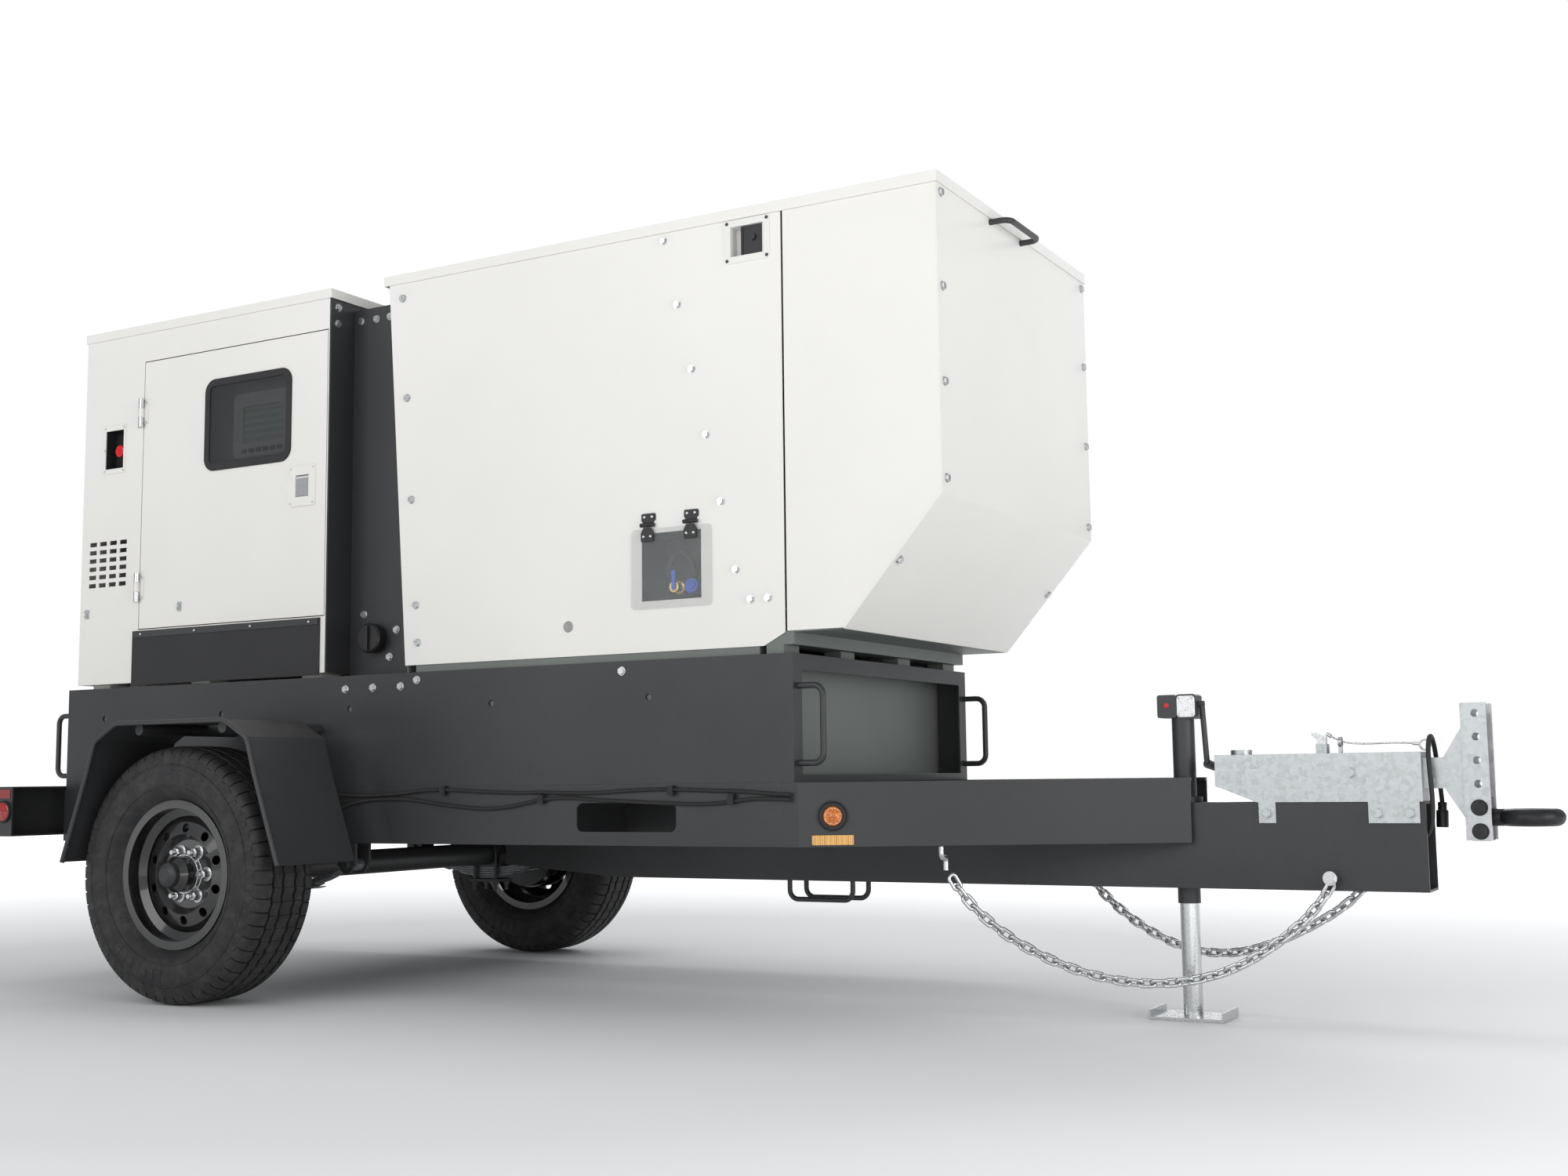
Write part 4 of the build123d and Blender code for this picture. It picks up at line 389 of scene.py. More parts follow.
# %% Rubbers and plastics
def moulded(name, colour, roughness, grain_scale, grain_depth, lighter=1.7, dust=0.0):
    """Rubber or plastic with mould grain and a little chalking."""
    skin = Finish(name, roughness=roughness, specular_ior_level=0.4)
    cloud = skin.noise(7, 6, 0.65)
    tone = skin.colours(skin.ramp(cloud, (0.4, 0), (0.75, 1)), colour,
                        tuple(min(1, c * lighter) for c in colour))
    if dust:
        powder = skin.ramp(skin.noise(24, 8, 0.75), (0.45, 0), (0.8, 1)) * dust
        tone = skin.colours(powder, tone, dust_colour)
    skin.feed("Base Color", tone)
    skin.feed("Roughness", roughness + (cloud - 0.5) * 0.25)
    skin.relief(skin.noise(grain_scale, 3, 0.6), grain_depth, 0.6)
    return skin.material


tyre_rubber = moulded("tyre_rubber", (0.015, 0.015, 0.016), 0.62, 340, 0.0007, 1.6, 0.10)
hose_rubber = moulded("hose_rubber", (0.016, 0.016, 0.017), 0.55, 500, 0.0004, 1.5)
black_plastic = moulded("black_plastic", (0.014, 0.014, 0.015), 0.38, 900, 0.0003, 1.5)
grey_plastic = moulded("grey_plastic", (0.30, 0.30, 0.29), 0.45, 900, 0.0002, 1.1)
red_plastic = moulded("red_plastic", (0.55, 0.008, 0.012), 0.25, 700, 0.0001, 1.2)
blue_plastic = moulded("blue_hose_cap", (0.01, 0.09, 0.50), 0.35, 700, 0.0002, 1.2)
teal_bush = moulded("teal_bush", (0.0, 0.30, 0.26), 0.40, 700, 0.0002, 1.2)
white_plastic = moulded("white_bezel", (0.74, 0.73, 0.70), 0.36, 900, 0.0002, 1.05)
print("rubbers and plastics ready")

# %% [markdown]
# ## Clear things
# The flap over the drain valves is polycarbonate, the window is smoked, and the lamps are
# moulded lenses with a pattern of small prisms inside. Real glass shaders need many samples,
# so the thin sheets are mostly see-through by alpha and keep only their gloss.

# %% Sheets you can see through, and lamp lenses
def clear_sheet(name, colour, alpha, roughness):
    """A thin see-through sheet with smears that catch the light."""
    sheet = Finish(name, roughness=roughness, specular_ior_level=0.5)
    smear = sheet.noise(6, 6, 0.7, stretch=(1, 1, 0.4))
    sheet.feed("Base Color", sheet.colours(smear, colour, tuple(min(1, c + 0.05) for c in colour)))
    sheet.feed("Alpha", alpha + sheet.ramp(smear, (0.4, 0), (0.9, 1)) * 0.06)
    sheet.feed("Roughness", roughness + smear * 0.12)
    return sheet.material


clear_flap = clear_sheet("clear_polycarbonate", (0.42, 0.44, 0.44), 0.13, 0.06)
smoked_pane = clear_sheet("smoked_pane", (0.030, 0.032, 0.034), 0.42, 0.05)


def lens(name, deep, bright, glow):
    """A moulded lens: small prisms in rows, darker in the gaps, with a faint glow of its own."""
    body = Finish(name, roughness=0.12, coat_weight=0.6, coat_roughness=0.04)
    prism = body.cells(210)
    shade = body.ramp(prism, (0.1, 1), (0.55, 0))
    body.feed("Base Color", body.colours(shade, deep, bright))
    body.feed("Emission Color", body.colours(shade, deep, bright))
    body.feed("Emission Strength", glow)
    body.relief(prism, 0.0010, 0.7)
    return body.material


amber_lens = lens("amber_lens", (0.42, 0.09, 0.004), (0.92, 0.34, 0.02), 0.10)
red_lens = lens("red_lens", (0.22, 0.002, 0.003), (0.72, 0.02, 0.015), 0.08)


def reflector(name, colour, gap):
    """Prismatic tape: a brick pattern of bright cells in a darker lattice."""
    tape = Finish(name, roughness=0.25, coat_weight=0.5, coat_roughness=0.1)
    brick = tape.node("ShaderNodeTexBrick", {"Vector": tape.spot(), "Scale": 90, "Mortar Size": 0.03,
                                             "Color1": (1, 1, 1), "Color2": (0.7, 0.7, 0.7),
                                             "Mortar": (0, 0, 0)}, output="Color")
    level = tape.node("ShaderNodeSeparateColor", {0: brick})
    tape.feed("Base Color", tape.colours(level, gap, colour))
    tape.relief(level, 0.0003, 0.5)
    return tape.material


amber_tape = reflector("amber_reflector", (0.85, 0.42, 0.03), (0.35, 0.14, 0.01))
red_tape = reflector("red_reflector", (0.70, 0.03, 0.02), (0.25, 0.005, 0.005))

# %% [markdown]
# ## The screen and the radiator
# Behind the window sits a controller with a dim green-grey screen. No lettering is drawn: the screen only
# shows a few soft bars, as any meter might. The radiator core is a stack of thin fins, so a wave texture
# gives the lines and a bump gives their depth; the same wave paints the colour, with dark bands of painted
# shade between the fins and lighter bands of painted highlight on their edges.

# %% Screen glass and radiator fins
screen = Finish("meter_screen", roughness=0.18, coat_weight=0.5, coat_roughness=0.05)
bars = screen.node("ShaderNodeTexWave", {"Vector": screen.spot(), "Scale": 14, "Distortion": 0.0},
                   wave_type="BANDS", bands_direction="Z", output=1)
screen.feed("Base Color", screen.colours(screen.ramp(bars, (0.42, 0), (0.5, 1)), (0.10, 0.12, 0.11),
                                         (0.16, 0.19, 0.17)))
screen.feed("Emission Color", (0.10, 0.13, 0.11))
screen.feed("Emission Strength", 0.25)
meter_screen = screen.material

fins = Finish("radiator_fins", metallic=0.8, roughness=0.45)
rows = fins.node("ShaderNodeTexWave", {"Vector": fins.spot(), "Scale": 110, "Distortion": 0.3, "Detail": 1},
                 wave_type="BANDS", bands_direction="Z", output=1)
# Painted shade and highlight: the fin bands are dark in the gaps and light on the fin edges.
fins.feed("Base Color", fins.colours(rows, (0.03, 0.03, 0.03), (0.30, 0.30, 0.30)))
fins.relief(rows, 0.002, 0.8)
radiator_fins = fins.material

# %% [markdown]
# ## A ribbed sleeve for the wiring
# The wires along the rail run in split conduit. Its rings are far too fine to model over two metres, so they
# are a band wave along the run with a bump as deep as the real corrugation. The same wave paints the colour
# darker in the valleys and lighter on the crests, as painted shade and painted highlight.

# %% Conduit
conduit = Finish("wiring_conduit", roughness=0.5, specular_ior_level=0.4)
rings = conduit.node("ShaderNodeTexWave", {"Vector": conduit.spot(), "Scale": 95, "Distortion": 0.2},
                     wave_type="BANDS", bands_direction="X", output=1)
# Painted shade and highlight: the rings are darker in their valleys and lighter on their crests.
conduit.feed("Base Color", conduit.colours(rings, (0.008, 0.008, 0.009), (0.035, 0.035, 0.036)))
conduit.feed("Roughness", 0.42 + conduit.noise(30, 5) * 0.25)
conduit.relief(rings, 0.0012, 0.8)
wiring_conduit = conduit.material
print("lenses, tapes, screen, fins and conduit ready")

# %% [markdown]
# ## Which part is made of what
# Most parts keep their modelled shape and only change their finish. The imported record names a
# material slot for every part, so a table from slot to finish covers nearly all of them; the
# few that differ are named one by one.

# %% Hand the finishes out
slot_finish = {
    "white_paint": white_coat, "black_paint": black_coat, "dark_grey_paint": grey_coat,
    "wheel_paint": wheel_gloss, "galvanised": galvanised, "zinc": zinc_plate, "tyre_rubber": tyre_rubber,
    "rubber": hose_rubber, "black_plastic": black_plastic, "clear_plastic": clear_flap,
    "smoked_glass": smoked_pane, "lamp_plastic": amber_lens, "red_plastic": red_plastic,
    "engine_paint": engine_enamel, "copper_grey": radiator_fins, "leaf_steel": spring_steel,
}
part_finish = {
    "lunette_ring": forged_steel, "wiring_harness": wiring_conduit, "door_latch_paddle": chrome_plate,
    "flush_latch_paddle": black_plastic, "flush_latch_cup": white_plastic,
    "service_latch_paddle": black_plastic,
}


def finish_of(name, part):
    slot = part.data.materials[0].name.split(".")[0]
    return part_finish.get(name, slot_finish[slot])


for name, part in nodes.items():
    part.material_slots[0].material = finish_of(name, part)
print("finishes given to", len(nodes), "parts")

# %% [markdown]
# ## Tools for making pieces
# Small pieces are built as meshes in code. Four makers cover nearly everything: a turned
# shape, a plate cut from an outline, a round bar bent along a line, and a hexagon screw. Each
# new piece rides on a body of the machine and takes one finish.

# %% Put a mesh on a body
made_count = {}


def put(name, mesh_maker, body, material, smooth=40, matrix=None):
    """Make an object from a bmesh, shade it, give it a finish and let it ride on a body."""
    mesh = bpy.data.meshes.new(name)
    mesh_maker.normal_update()
    mesh_maker.to_mesh(mesh)
    mesh_maker.free()
    for each in material if isinstance(material, (list, tuple)) else [material]:
        mesh.materials.append(each)
    piece = bpy.data.objects.new(name, mesh)
    bpy.context.scene.collection.objects.link(piece)
    if matrix is not None:
        piece.matrix_world = matrix
    mesh.shade_smooth()
    if smooth < 180:
        with bpy.context.temp_override(object=piece, active_object=piece, selected_editable_objects=[piece]):
            mesh.set_sharp_from_angle(angle=math.radians(smooth))
    if body:
        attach(piece, body)
    made_count[body] = made_count.get(body, 0) + 1
    return piece


def joined(*makers):
    """Several bmeshes as one."""
    whole = bmesh.new()
    for maker in makers:
        scrap = bpy.data.meshes.new("scrap")
        maker.to_mesh(scrap)
        maker.free()
        whole.from_mesh(scrap)
        bpy.data.meshes.remove(scrap)
    return whole


def placed(maker, matrix):
    """A bmesh moved by a matrix."""
    bmesh.ops.transform(maker, matrix=matrix, verts=maker.verts)
    return maker


# %% Turned shapes
def turned(profile, steps=48, axis="Y", closed=False):
    """Spin (radius, along) points round an axis. Points with radius 0 close the ends."""
    maker = bmesh.new()
    rings_made = []
    for radius, along in profile:
        if radius < 1e-6:
            rings_made.append([maker.verts.new((0, along, 0))])
            continue
        turn = [2 * math.pi * k / steps for k in range(steps)]
        rings_made.append([maker.verts.new((radius * math.cos(a), along,
                                            radius * math.sin(a))) for a in turn])
    pairs = list(zip(rings_made, rings_made[1:]))
    if closed:
        pairs.append((rings_made[-1], rings_made[0]))
    for first, second in pairs:
        for k in range(steps):
            n = (k + 1) % steps
            corners = [first[k % len(first)], first[n % len(first)], second[n % len(second)],
                       second[k % len(second)]]
            unique = list(dict.fromkeys(corners))
            if len(unique) > 2:
                maker.faces.new(unique)
    bmesh.ops.recalc_face_normals(maker, faces=maker.faces)
    if axis == "Z":
        placed(maker, Matrix.Rotation(math.radians(90), 4, "X"))
    if axis == "X":
        placed(maker, Matrix.Rotation(math.radians(-90), 4, "Z"))
    return maker


# %% Plates cut from an outline
def rounded_outline(width, height, radius, steps=6):
    """Corner points of a rounded rectangle about the origin."""
    points = []
    corners = ((1, 1, 0), (-1, 1, 90), (-1, -1, 180), (1, -1, 270))
    for sx, sz, start in corners:
        cx, cz = sx * (width / 2 - radius), sz * (height / 2 - radius)
        for k in range(steps + 1):
            angle = math.radians(start + 90 * k / steps)
            points.append((cx + radius * math.cos(angle), cz + radius * math.sin(angle)))
    return points


def plate(outline, thickness, bevel=0.0006, hole=None):
    """A plate in XZ whose back is at y=0 and whose face is at y=-thickness, edges broken."""
    maker = bmesh.new()
    back = [maker.verts.new((x, 0, z)) for x, z in outline]
    front = [maker.verts.new((x, -thickness, z)) for x, z in outline]
    count = len(outline)
    for k in range(count):
        maker.faces.new((back[k], back[(k + 1) % count], front[(k + 1) % count], front[k]))
    if hole:
        inner_back = [maker.verts.new((x, 0, z)) for x, z in hole]
        inner_front = [maker.verts.new((x, -thickness, z)) for x, z in hole]
        for k in range(count):
            n = (k + 1) % count
            maker.faces.new((inner_back[k], inner_front[k], inner_front[n], inner_back[n]))
            maker.faces.new((front[k], front[n], inner_front[n], inner_front[k]))
            maker.faces.new((back[n], back[k], inner_back[k], inner_back[n]))
    else:
        maker.faces.new(front)
        maker.faces.new(list(reversed(back)))
    bmesh.ops.recalc_face_normals(maker, faces=maker.faces)
    if bevel:
        sharp = [e for e in maker.edges if len(e.link_faces) == 2 and e.calc_face_angle(0) > 1.0]
        bmesh.ops.bevel(maker, geom=sharp, offset=bevel, segments=2, affect="EDGES", clamp_overlap=True)
    return maker


def bar(size, centre=(0, 0, 0), bevel=0.001):
    """A block with broken edges."""
    maker = bmesh.new()
    bmesh.ops.create_cube(maker, size=1, matrix=Matrix.Translation(centre) @ Matrix.Diagonal((*size, 1)))
    if bevel:
        bmesh.ops.bevel(maker, geom=maker.edges[:], offset=bevel, segments=2, affect="EDGES")
    return maker


# %% Round bars bent along a line
def bent_bar(points, radius, sides=12, order=3, closed_ends=True):
    """A tube swept along a smooth line whose control points are given."""
    line = smooth_line(points, order)
    maker = bmesh.new()
    previous = None
    side_ring = []
    across = None
    for k, here in enumerate(line):
        ahead = (line[min(k + 1, len(line) - 1)] - line[max(k - 1, 0)]).normalized()
        if across is None:
            across = ahead.orthogonal().normalized()
        across = (across - ahead * across.dot(ahead)).normalized()
        over = ahead.cross(across)
        ring = []
        for s in range(sides):
            angle = 2 * math.pi * s / sides
            ring.append(maker.verts.new(here + radius * (math.cos(angle) * across + math.sin(angle) * over)))
        side_ring.append(ring)
        if previous:
            for s in range(sides):
                n = (s + 1) % sides
                maker.faces.new((previous[s], previous[n], ring[n], ring[s]))
        previous = ring
    if closed_ends:
        maker.faces.new(list(reversed(side_ring[0])))
        maker.faces.new(side_ring[-1])
    bmesh.ops.recalc_face_normals(maker, faces=maker.faces)
    return maker


def smooth_line(points, order=3, resolution=10):
    """Points read from a NURBS spline through its control points."""
    data = bpy.data.curves.new("line", "CURVE")
    data.dimensions = "3D"
    spline = data.splines.new("NURBS")
    spline.points.add(len(points) - 1)
    for control, place in zip(spline.points, points):
        control.co = (*place, 1)
    spline.order_u = min(order, len(points))
    spline.use_endpoint_u = True
    spline.resolution_u = resolution
    holder = bpy.data.objects.new("line", data)
    mesh = bpy.data.meshes.new_from_object(holder)
    line = [v.co.copy() for v in mesh.vertices]
    bpy.data.objects.remove(holder)
    bpy.data.curves.remove(data)
    bpy.data.meshes.remove(mesh)
    return line


# %% Hexagon and domed screws
def hex_head(across, height, washer=True, stud=0.0):
    """A hexagon head with a chamfered crown, looking towards -Y, seated on y=0."""
    makers = []
    seat = 0.0
    if washer:
        seat = 0.0016
        makers.append(turned([(0, 0), (across * 0.78, 0), (across * 0.80, -0.0004), (across * 0.80, -0.0012),
                              (across * 0.77, -seat), (0, -seat)], 32))
    radius = across / math.sqrt(3)
    head = turned([(0, -seat), (radius, -seat), (radius, -height * 0.86), (radius * 0.86, -height),
                   (0, -height)], 6)
    bmesh.ops.bevel(head, geom=[e for e in head.edges if e.calc_face_angle(0) > 0.6], offset=across * 0.03,
                    segments=1, affect="EDGES")
    makers.append(head)
    if stud:
        ridges = [(0, -height)]
        pitch = 0.0015
        for k in range(int(stud / pitch)):
            ridges += [(across * 0.30, -height - k * pitch), (across * 0.27, -height - (k + 0.5) * pitch)]
        ridges += [(across * 0.26, -height - stud), (0, -height - stud)]
        makers.append(turned(ridges, 20))
    return joined(*makers)


def pan_screw(diameter):
    """A domed screw with a shallow round recess, looking towards -Y."""
    r = diameter / 2
    dome = turned([(r, 0), (r, -r * 0.25), (r * 0.8, -r * 0.55), (r * 0.45, -r * 0.7), (r * 0.2, -r * 0.7),
                   (r * 0.16, -r * 0.35), (0, -r * 0.35)], 20)
    return dome


def facing(place, direction):
    """A matrix that puts a -Y facing shape at a place, facing a direction."""
    turn = Vector((0, -1, 0)).rotation_difference(Vector(direction)).to_matrix().to_4x4()
    return Matrix.Translation(place) @ turn


def many(maker_function, places, direction=(0, -1, 0), spin=0.0):
    """The same small part at several places, as one mesh; spin turns each a little more."""
    makers = []
    for k, place in enumerate(places):
        twist = Matrix.Rotation(spin * k * 1.7, 4, "Y")
        makers.append(placed(maker_function(), facing(Vector(place), direction) @ twist))
    return joined(*makers)


print("piece makers ready")

# %% [markdown]
# ## Tyres
# A trailer tyre is a hollow ring whose outside carries four grooves, cut shoulders and fine
# sipes. It could be modelled as one tread block and an array, but a ring bends the block. Here
# one angular grid is laid round the axle; its rows fall exactly on the edges of every cut, so
# the cuts stay crisp, and the grooves weave because the rows near them sway from side to side.

# %% The tyre's grid
wall_edges = (0.2440, 0.2450, 0.2485, 0.2495, 0.2610, 0.2625, 0.2915, 0.2930, 0.3025, 0.3040, 0.3070,
              0.3082, 0.3090,
              0.3295, 0.3305)


def tyre_rows():
    """Rows across the tyre: (radius, offset, kind), from one bead over the tread to the other."""
    wall = smooth_line([(0.190, 0.066, 0), (0.209, 0.074, 0), (0.222, 0.094, 0), (0.246, 0.112, 0),
                        (0.283, 0.1135, 0), (0.312, 0.110, 0), (0.333, 0.104, 0)], resolution=4)
    places = [(p.x, p.y) for p in wall]
    for edge in wall_edges:
        before, after = next(pair for pair in zip(wall, wall[1:]) if pair[0].x <= edge < pair[1].x)
        share = (edge - before.x) / (after.x - before.x)
        places.append((edge, before.y + share * (after.y - before.y)))
    rows = [(radius, offset, "wall") for radius, offset in sorted(places)]
    rows += [(0.3405, 0.1012, "shoulder"), (0.3465, 0.0975, "shoulder"), (0.3510, 0.0915, "shoulder"),
             (0.3545, 0.0840, "shoulder"), (0.3565, 0.0740, "shoulder"), (0.3575, 0.0640, "shoulder")]
    rows += [(0.3580, 0.0625, "rib"), (0.3580, 0.0615, "groove"), (0.3582, 0.0545, "groove"),
             (0.3584, 0.0535, "rib"),
             (0.3586, 0.0440, "rib"), (0.3588, 0.0360, "land"), (0.3589, 0.0270, "rib"),
             (0.3589, 0.0260, "groove"), (0.3589, 0.0185, "groove"), (0.3590, 0.0175, "rib"),
             (0.3590, 0.0085, "rib")]
    middle = [(0.3590, 0.0, "land")]
    inside = [(0.333, -0.078, "liner"), (0.333, 0.078, "liner")]
    return rows + middle + [(r, -o, kind) for r, o, kind in reversed(rows)] + \
        [(0.198, -0.058, "liner"), (0.28, -0.098, "liner")] + inside + [(0.28, 0.098, "liner"),
                                                                        (0.198, 0.058, "liner")]


pitches = 58
pitch_steps = (0, 0.015, 0.11, 0.125, 0.22, 0.30, 0.31, 0.345, 0.355, 0.43, 0.50, 0.515, 0.61, 0.625, 0.75,
               0.87)
groove_depth = 0.0075
weave = 0.0026


def tread_cut(offset, kind, step):
    """How deep the rubber is cut at a row and at a place within one pitch."""
    if kind == "groove":
        return groove_depth
    near_side = offset > 0
    first, last = (0.015, 0.11) if near_side else (0.515, 0.61)
    if kind == "shoulder" and first <= step <= last:
        return 0.0062
    if kind == "rib" and abs(offset) < 0.058 and 0.31 <= step <= 0.345:
        return 0.0045
    return 0.0


def wall_relief(radius, pitch, step):
    """Raised rings and a band of fine radial ribs on the sidewall."""
    raised = 0.0
    if 0.2445 < radius < 0.249 or 0.3035 < radius < 0.3075:
        raised = 0.0022
    if 0.3085 < radius < 0.330 and 0.13 < step < 0.60:
        raised = 0.0020
    if 0.262 < radius < 0.292 and pitch % 29 < 7 and 0.3 < step < 0.8:
        raised = 0.0013
    return raised


def tyre(side, sign):
    low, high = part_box("tyre_" + side)
    centre = (low + high) / 2
    rows = tyre_rows()
    points, faces = [], []
    for pitch in range(pitches):
        for step in pitch_steps:
            angle = 2 * math.pi * (pitch + step) / pitches
            sway = weave * (abs(((pitch + step) % 1) * 2 - 1) * 2 - 1)
            for radius, offset, kind in rows:
                if kind == "wall":
                    offset += math.copysign(wall_relief(radius, pitch, step), offset)
                elif kind != "liner":
                    radius -= tread_cut(offset, kind, step)
                    offset += sway * max(0.0, min(1.0, (0.075 - abs(offset)) / 0.02))
                points.append((centre.x + radius * math.sin(angle), centre.y + sign * offset,
                               centre.z + radius * math.cos(angle)))
    count, around = len(rows), pitches * len(pitch_steps)
    for a in range(around):
        b = (a + 1) % around
        for r in range(count):
            s = (r + 1) % count
            faces.append((a * count + r, a * count + s, b * count + s, b * count + r))
    mesh = bpy.data.meshes.new("tyre_" + side + "_tread")
    mesh.from_pydata(points, [], faces)
    maker = bmesh.new()
    maker.from_mesh(mesh)
    bpy.data.meshes.remove(mesh)
    bmesh.ops.recalc_face_normals(maker, faces=maker.faces)
    return maker


for side, sign, body in (("right", -1, "wheel_r"), ("left", 1, "wheel_l")):
    piece = put("treaded_tyre_" + side, tyre(side, sign), body, tyre_rubber, smooth=32)
    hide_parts("tyre_" + side)
print("two tyres with", pitches, "pitches each")

# %% [markdown]
# ## Wheel fittings
# The pressed wheel keeps its modelled shape. What makes it look real are the small bright
# things on it: nuts on threaded studs, a machined ring round the hub, a grease cap with its
# rubber plug, and the valve stem by the rim.

# %% Nuts, hub ring, grease cap and valve
stud_ring = 0.06985
nut_seat = 0.028
half_track = (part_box("tyre_left")[0].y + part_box("tyre_left")[1].y) / 2
hub_height = (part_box("tyre_left")[0].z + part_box("tyre_left")[1].z) / 2


def wheel_places(radius, count, outward, sign):
    """Points round a hub, at a distance outboard of the wheel's middle plane."""
    turns = [2 * math.pi * (k + 0.5) / count for k in range(count)]
    return [(radius * math.sin(t), sign * (half_track + outward),
             hub_height + radius * math.cos(t)) for t in turns]


def lug_nut():
    return hex_head(0.0250, 0.0212, washer=True, stud=0.014)


def hub_ring():
    return turned([(0.0503, 0.020), (0.0503, 0.046), (0.0515, 0.0475), (0.0545, 0.0475), (0.0560, 0.046),
                   (0.0560, 0.036), (0.0580, 0.034), (0.0580, 0.024), (0.0600, 0.022), (0.0600, 0.020)], 64,
                   closed=True)


def grease_cap():
    return turned([(0.0345, 0.090), (0.0347, 0.104), (0.0335, 0.1075), (0.0300, 0.1100), (0.0215, 0.1165),
                   (0.0190, 0.1175), (0.0188, 0.1185), (0.0120, 0.1185), (0.0115, 0.1180), (0, 0.1182)], 64)


def valve_stem():
    return turned([(0.0040, 0), (0.0055, 0.003), (0.0050, 0.012), (0.0040, 0.014), (0.0046, 0.016),
                   (0.0046, 0.028),
                   (0.0035, 0.030), (0, 0.030)], 20)


for side, sign, body in (("right", -1, "wheel_r"), ("left", 1, "wheel_l")):
    hub = Matrix.Translation((0, sign * half_track, hub_height)) @ Matrix.Diagonal((1, sign, 1, 1))
    put("lug_nuts_" + side, many(lug_nut, wheel_places(stud_ring, 6, nut_seat, sign), (0, sign, 0), 0.9),
        body, zinc_plate, 30)
    for name, maker, finish in (("hub_ring_", hub_ring(), zinc_plate),
                                ("grease_cap_", grease_cap(), black_coat)):
        maker = placed(maker, hub)
        bmesh.ops.recalc_face_normals(maker, faces=maker.faces)
        put(name + side, maker, body, finish, 40)
    stem = placed(valve_stem(), Matrix.Translation((0.150, sign * (half_track + 0.030), hub_height + 0.06))
                  @ Matrix.Diagonal((1, sign, 1, 1)))
    bmesh.ops.recalc_face_normals(stem, faces=stem.faces)
    put("valve_stem_" + side, stem, body, hose_rubber, 40)
print("wheel fittings made")

# %% [markdown]
# ## Lamps and reflectors
# On each bent rail sits a round amber marker in a rubber ring with a reflector strip below it,
# and red lamps sit on the rear bumper. A lens is a shallow dome with moulded rings, so it is
# turned from a stepped profile; the rubber ring is turned too, and overlaps its edge.

# %% Lamp shapes
rail_low, rail_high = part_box("frame_rail_right")
rail_half_width = abs(rail_low.y)
rail_slope = math.atan2(rail_half_width - 0.076, rail_high.x - 1.807)


def lens_dome(radius, depth):
    """A lens with three moulded steps, looking towards -Y."""
    profile = [(radius, 0), (radius, -depth * 0.45)]
    for k in range(3):
        outer = radius * (0.94 - 0.28 * k)
        profile += [(outer, -depth * (0.62 + 0.12 * k)), (outer - radius * 0.10, -depth * (0.74 + 0.10 * k))]
    return turned(profile + [(0, -depth)], 48)


def rubber_ring(radius, width, depth):
    """A soft ring round a lamp, with a rolled lip over the lens."""
    return turned([(radius - 0.001, 0), (radius + width, 0), (radius + width, -depth * 0.55),
                   (radius + width * 0.55, -depth * 0.95), (radius, -depth), (radius - 0.003, -depth * 0.8),
                   (radius - 0.001, -depth * 0.5)], 48, closed=True)


def rail_place(distance, height, side):
    """A point on the bent rail's outer face and the way that face looks."""
    place = Vector((1.807 + distance * math.cos(rail_slope),
                    side * (rail_half_width - distance * math.sin(rail_slope)),
                    height))
    return place, Vector((math.sin(rail_slope), side * math.cos(rail_slope), 0))


# %% Lamps on the rails and the bumper
bumper_low, bumper_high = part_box("frame_crossmembers")
lamp_makers = {"red": [], "amber": [], "rubber": [], "amber_strip": [], "red_strip": []}
for side in (-1, 1):
    place, out = rail_place(0.084, 0.511, side)
    lamp_makers["amber"].append(placed(lens_dome(0.026, 0.018), facing(place, out)))
    lamp_makers["rubber"].append(placed(rubber_ring(0.026, 0.011, 0.014), facing(place, out)))
    place, out = rail_place(0.084, 0.452, side)
    lamp_makers["amber_strip"].append(placed(plate(rounded_outline(0.104, 0.024, 0.003), 0.004),
                                             facing(place, out)))
    end = Vector((bumper_low.x + 0.035, side * bumper_high.y, 0.532))
    lamp_makers["red"].append(placed(lens_dome(0.030, 0.014), facing(end, (0, side, 0))))
    lamp_makers["rubber"].append(placed(rubber_ring(0.030, 0.0045, 0.009), facing(end, (0, side, 0))))
    tape = Vector((bumper_low.x + 0.035, side * bumper_high.y, 0.5875))
    lamp_makers["red_strip"].append(placed(plate(rounded_outline(0.052, 0.030, 0.002), 0.0012),
                                           facing(tape, (0, side, 0))))
    for inset in (0.080, 0.200):
        rear = Vector((bumper_low.x, side * (bumper_high.y - inset), 0.532))
        lamp_makers["red"].append(placed(lens_dome(0.050, 0.020), facing(rear, (-1, 0, 0))))
        lamp_makers["rubber"].append(placed(rubber_ring(0.050, 0.008, 0.014), facing(rear, (-1, 0, 0))))
lamp_finish = {"red": red_lens, "amber": amber_lens, "rubber": hose_rubber, "amber_strip": amber_tape,
               "red_strip": red_tape}
lamp_names = {"red": "rear_lenses", "amber": "marker_lenses", "rubber": "lamp_rings",
              "amber_strip": "amber_reflectors", "red_strip": "red_reflectors"}
for kind, makers in lamp_makers.items():
    piece = put(lamp_names[kind], joined(*makers), "trailer", lamp_finish[kind], 30)
    if kind == "amber":
        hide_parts("lamps")
print("lamps:", ", ".join(lamp_names.values()))

# %% [markdown]
# ## The flap over the drain valves
# A clear flap hangs from two black butterfly hinges. Its edge is what shows it, so the plate
# has rounded corners and broken edges. Behind it is a dark well with a valve and a blue cap.

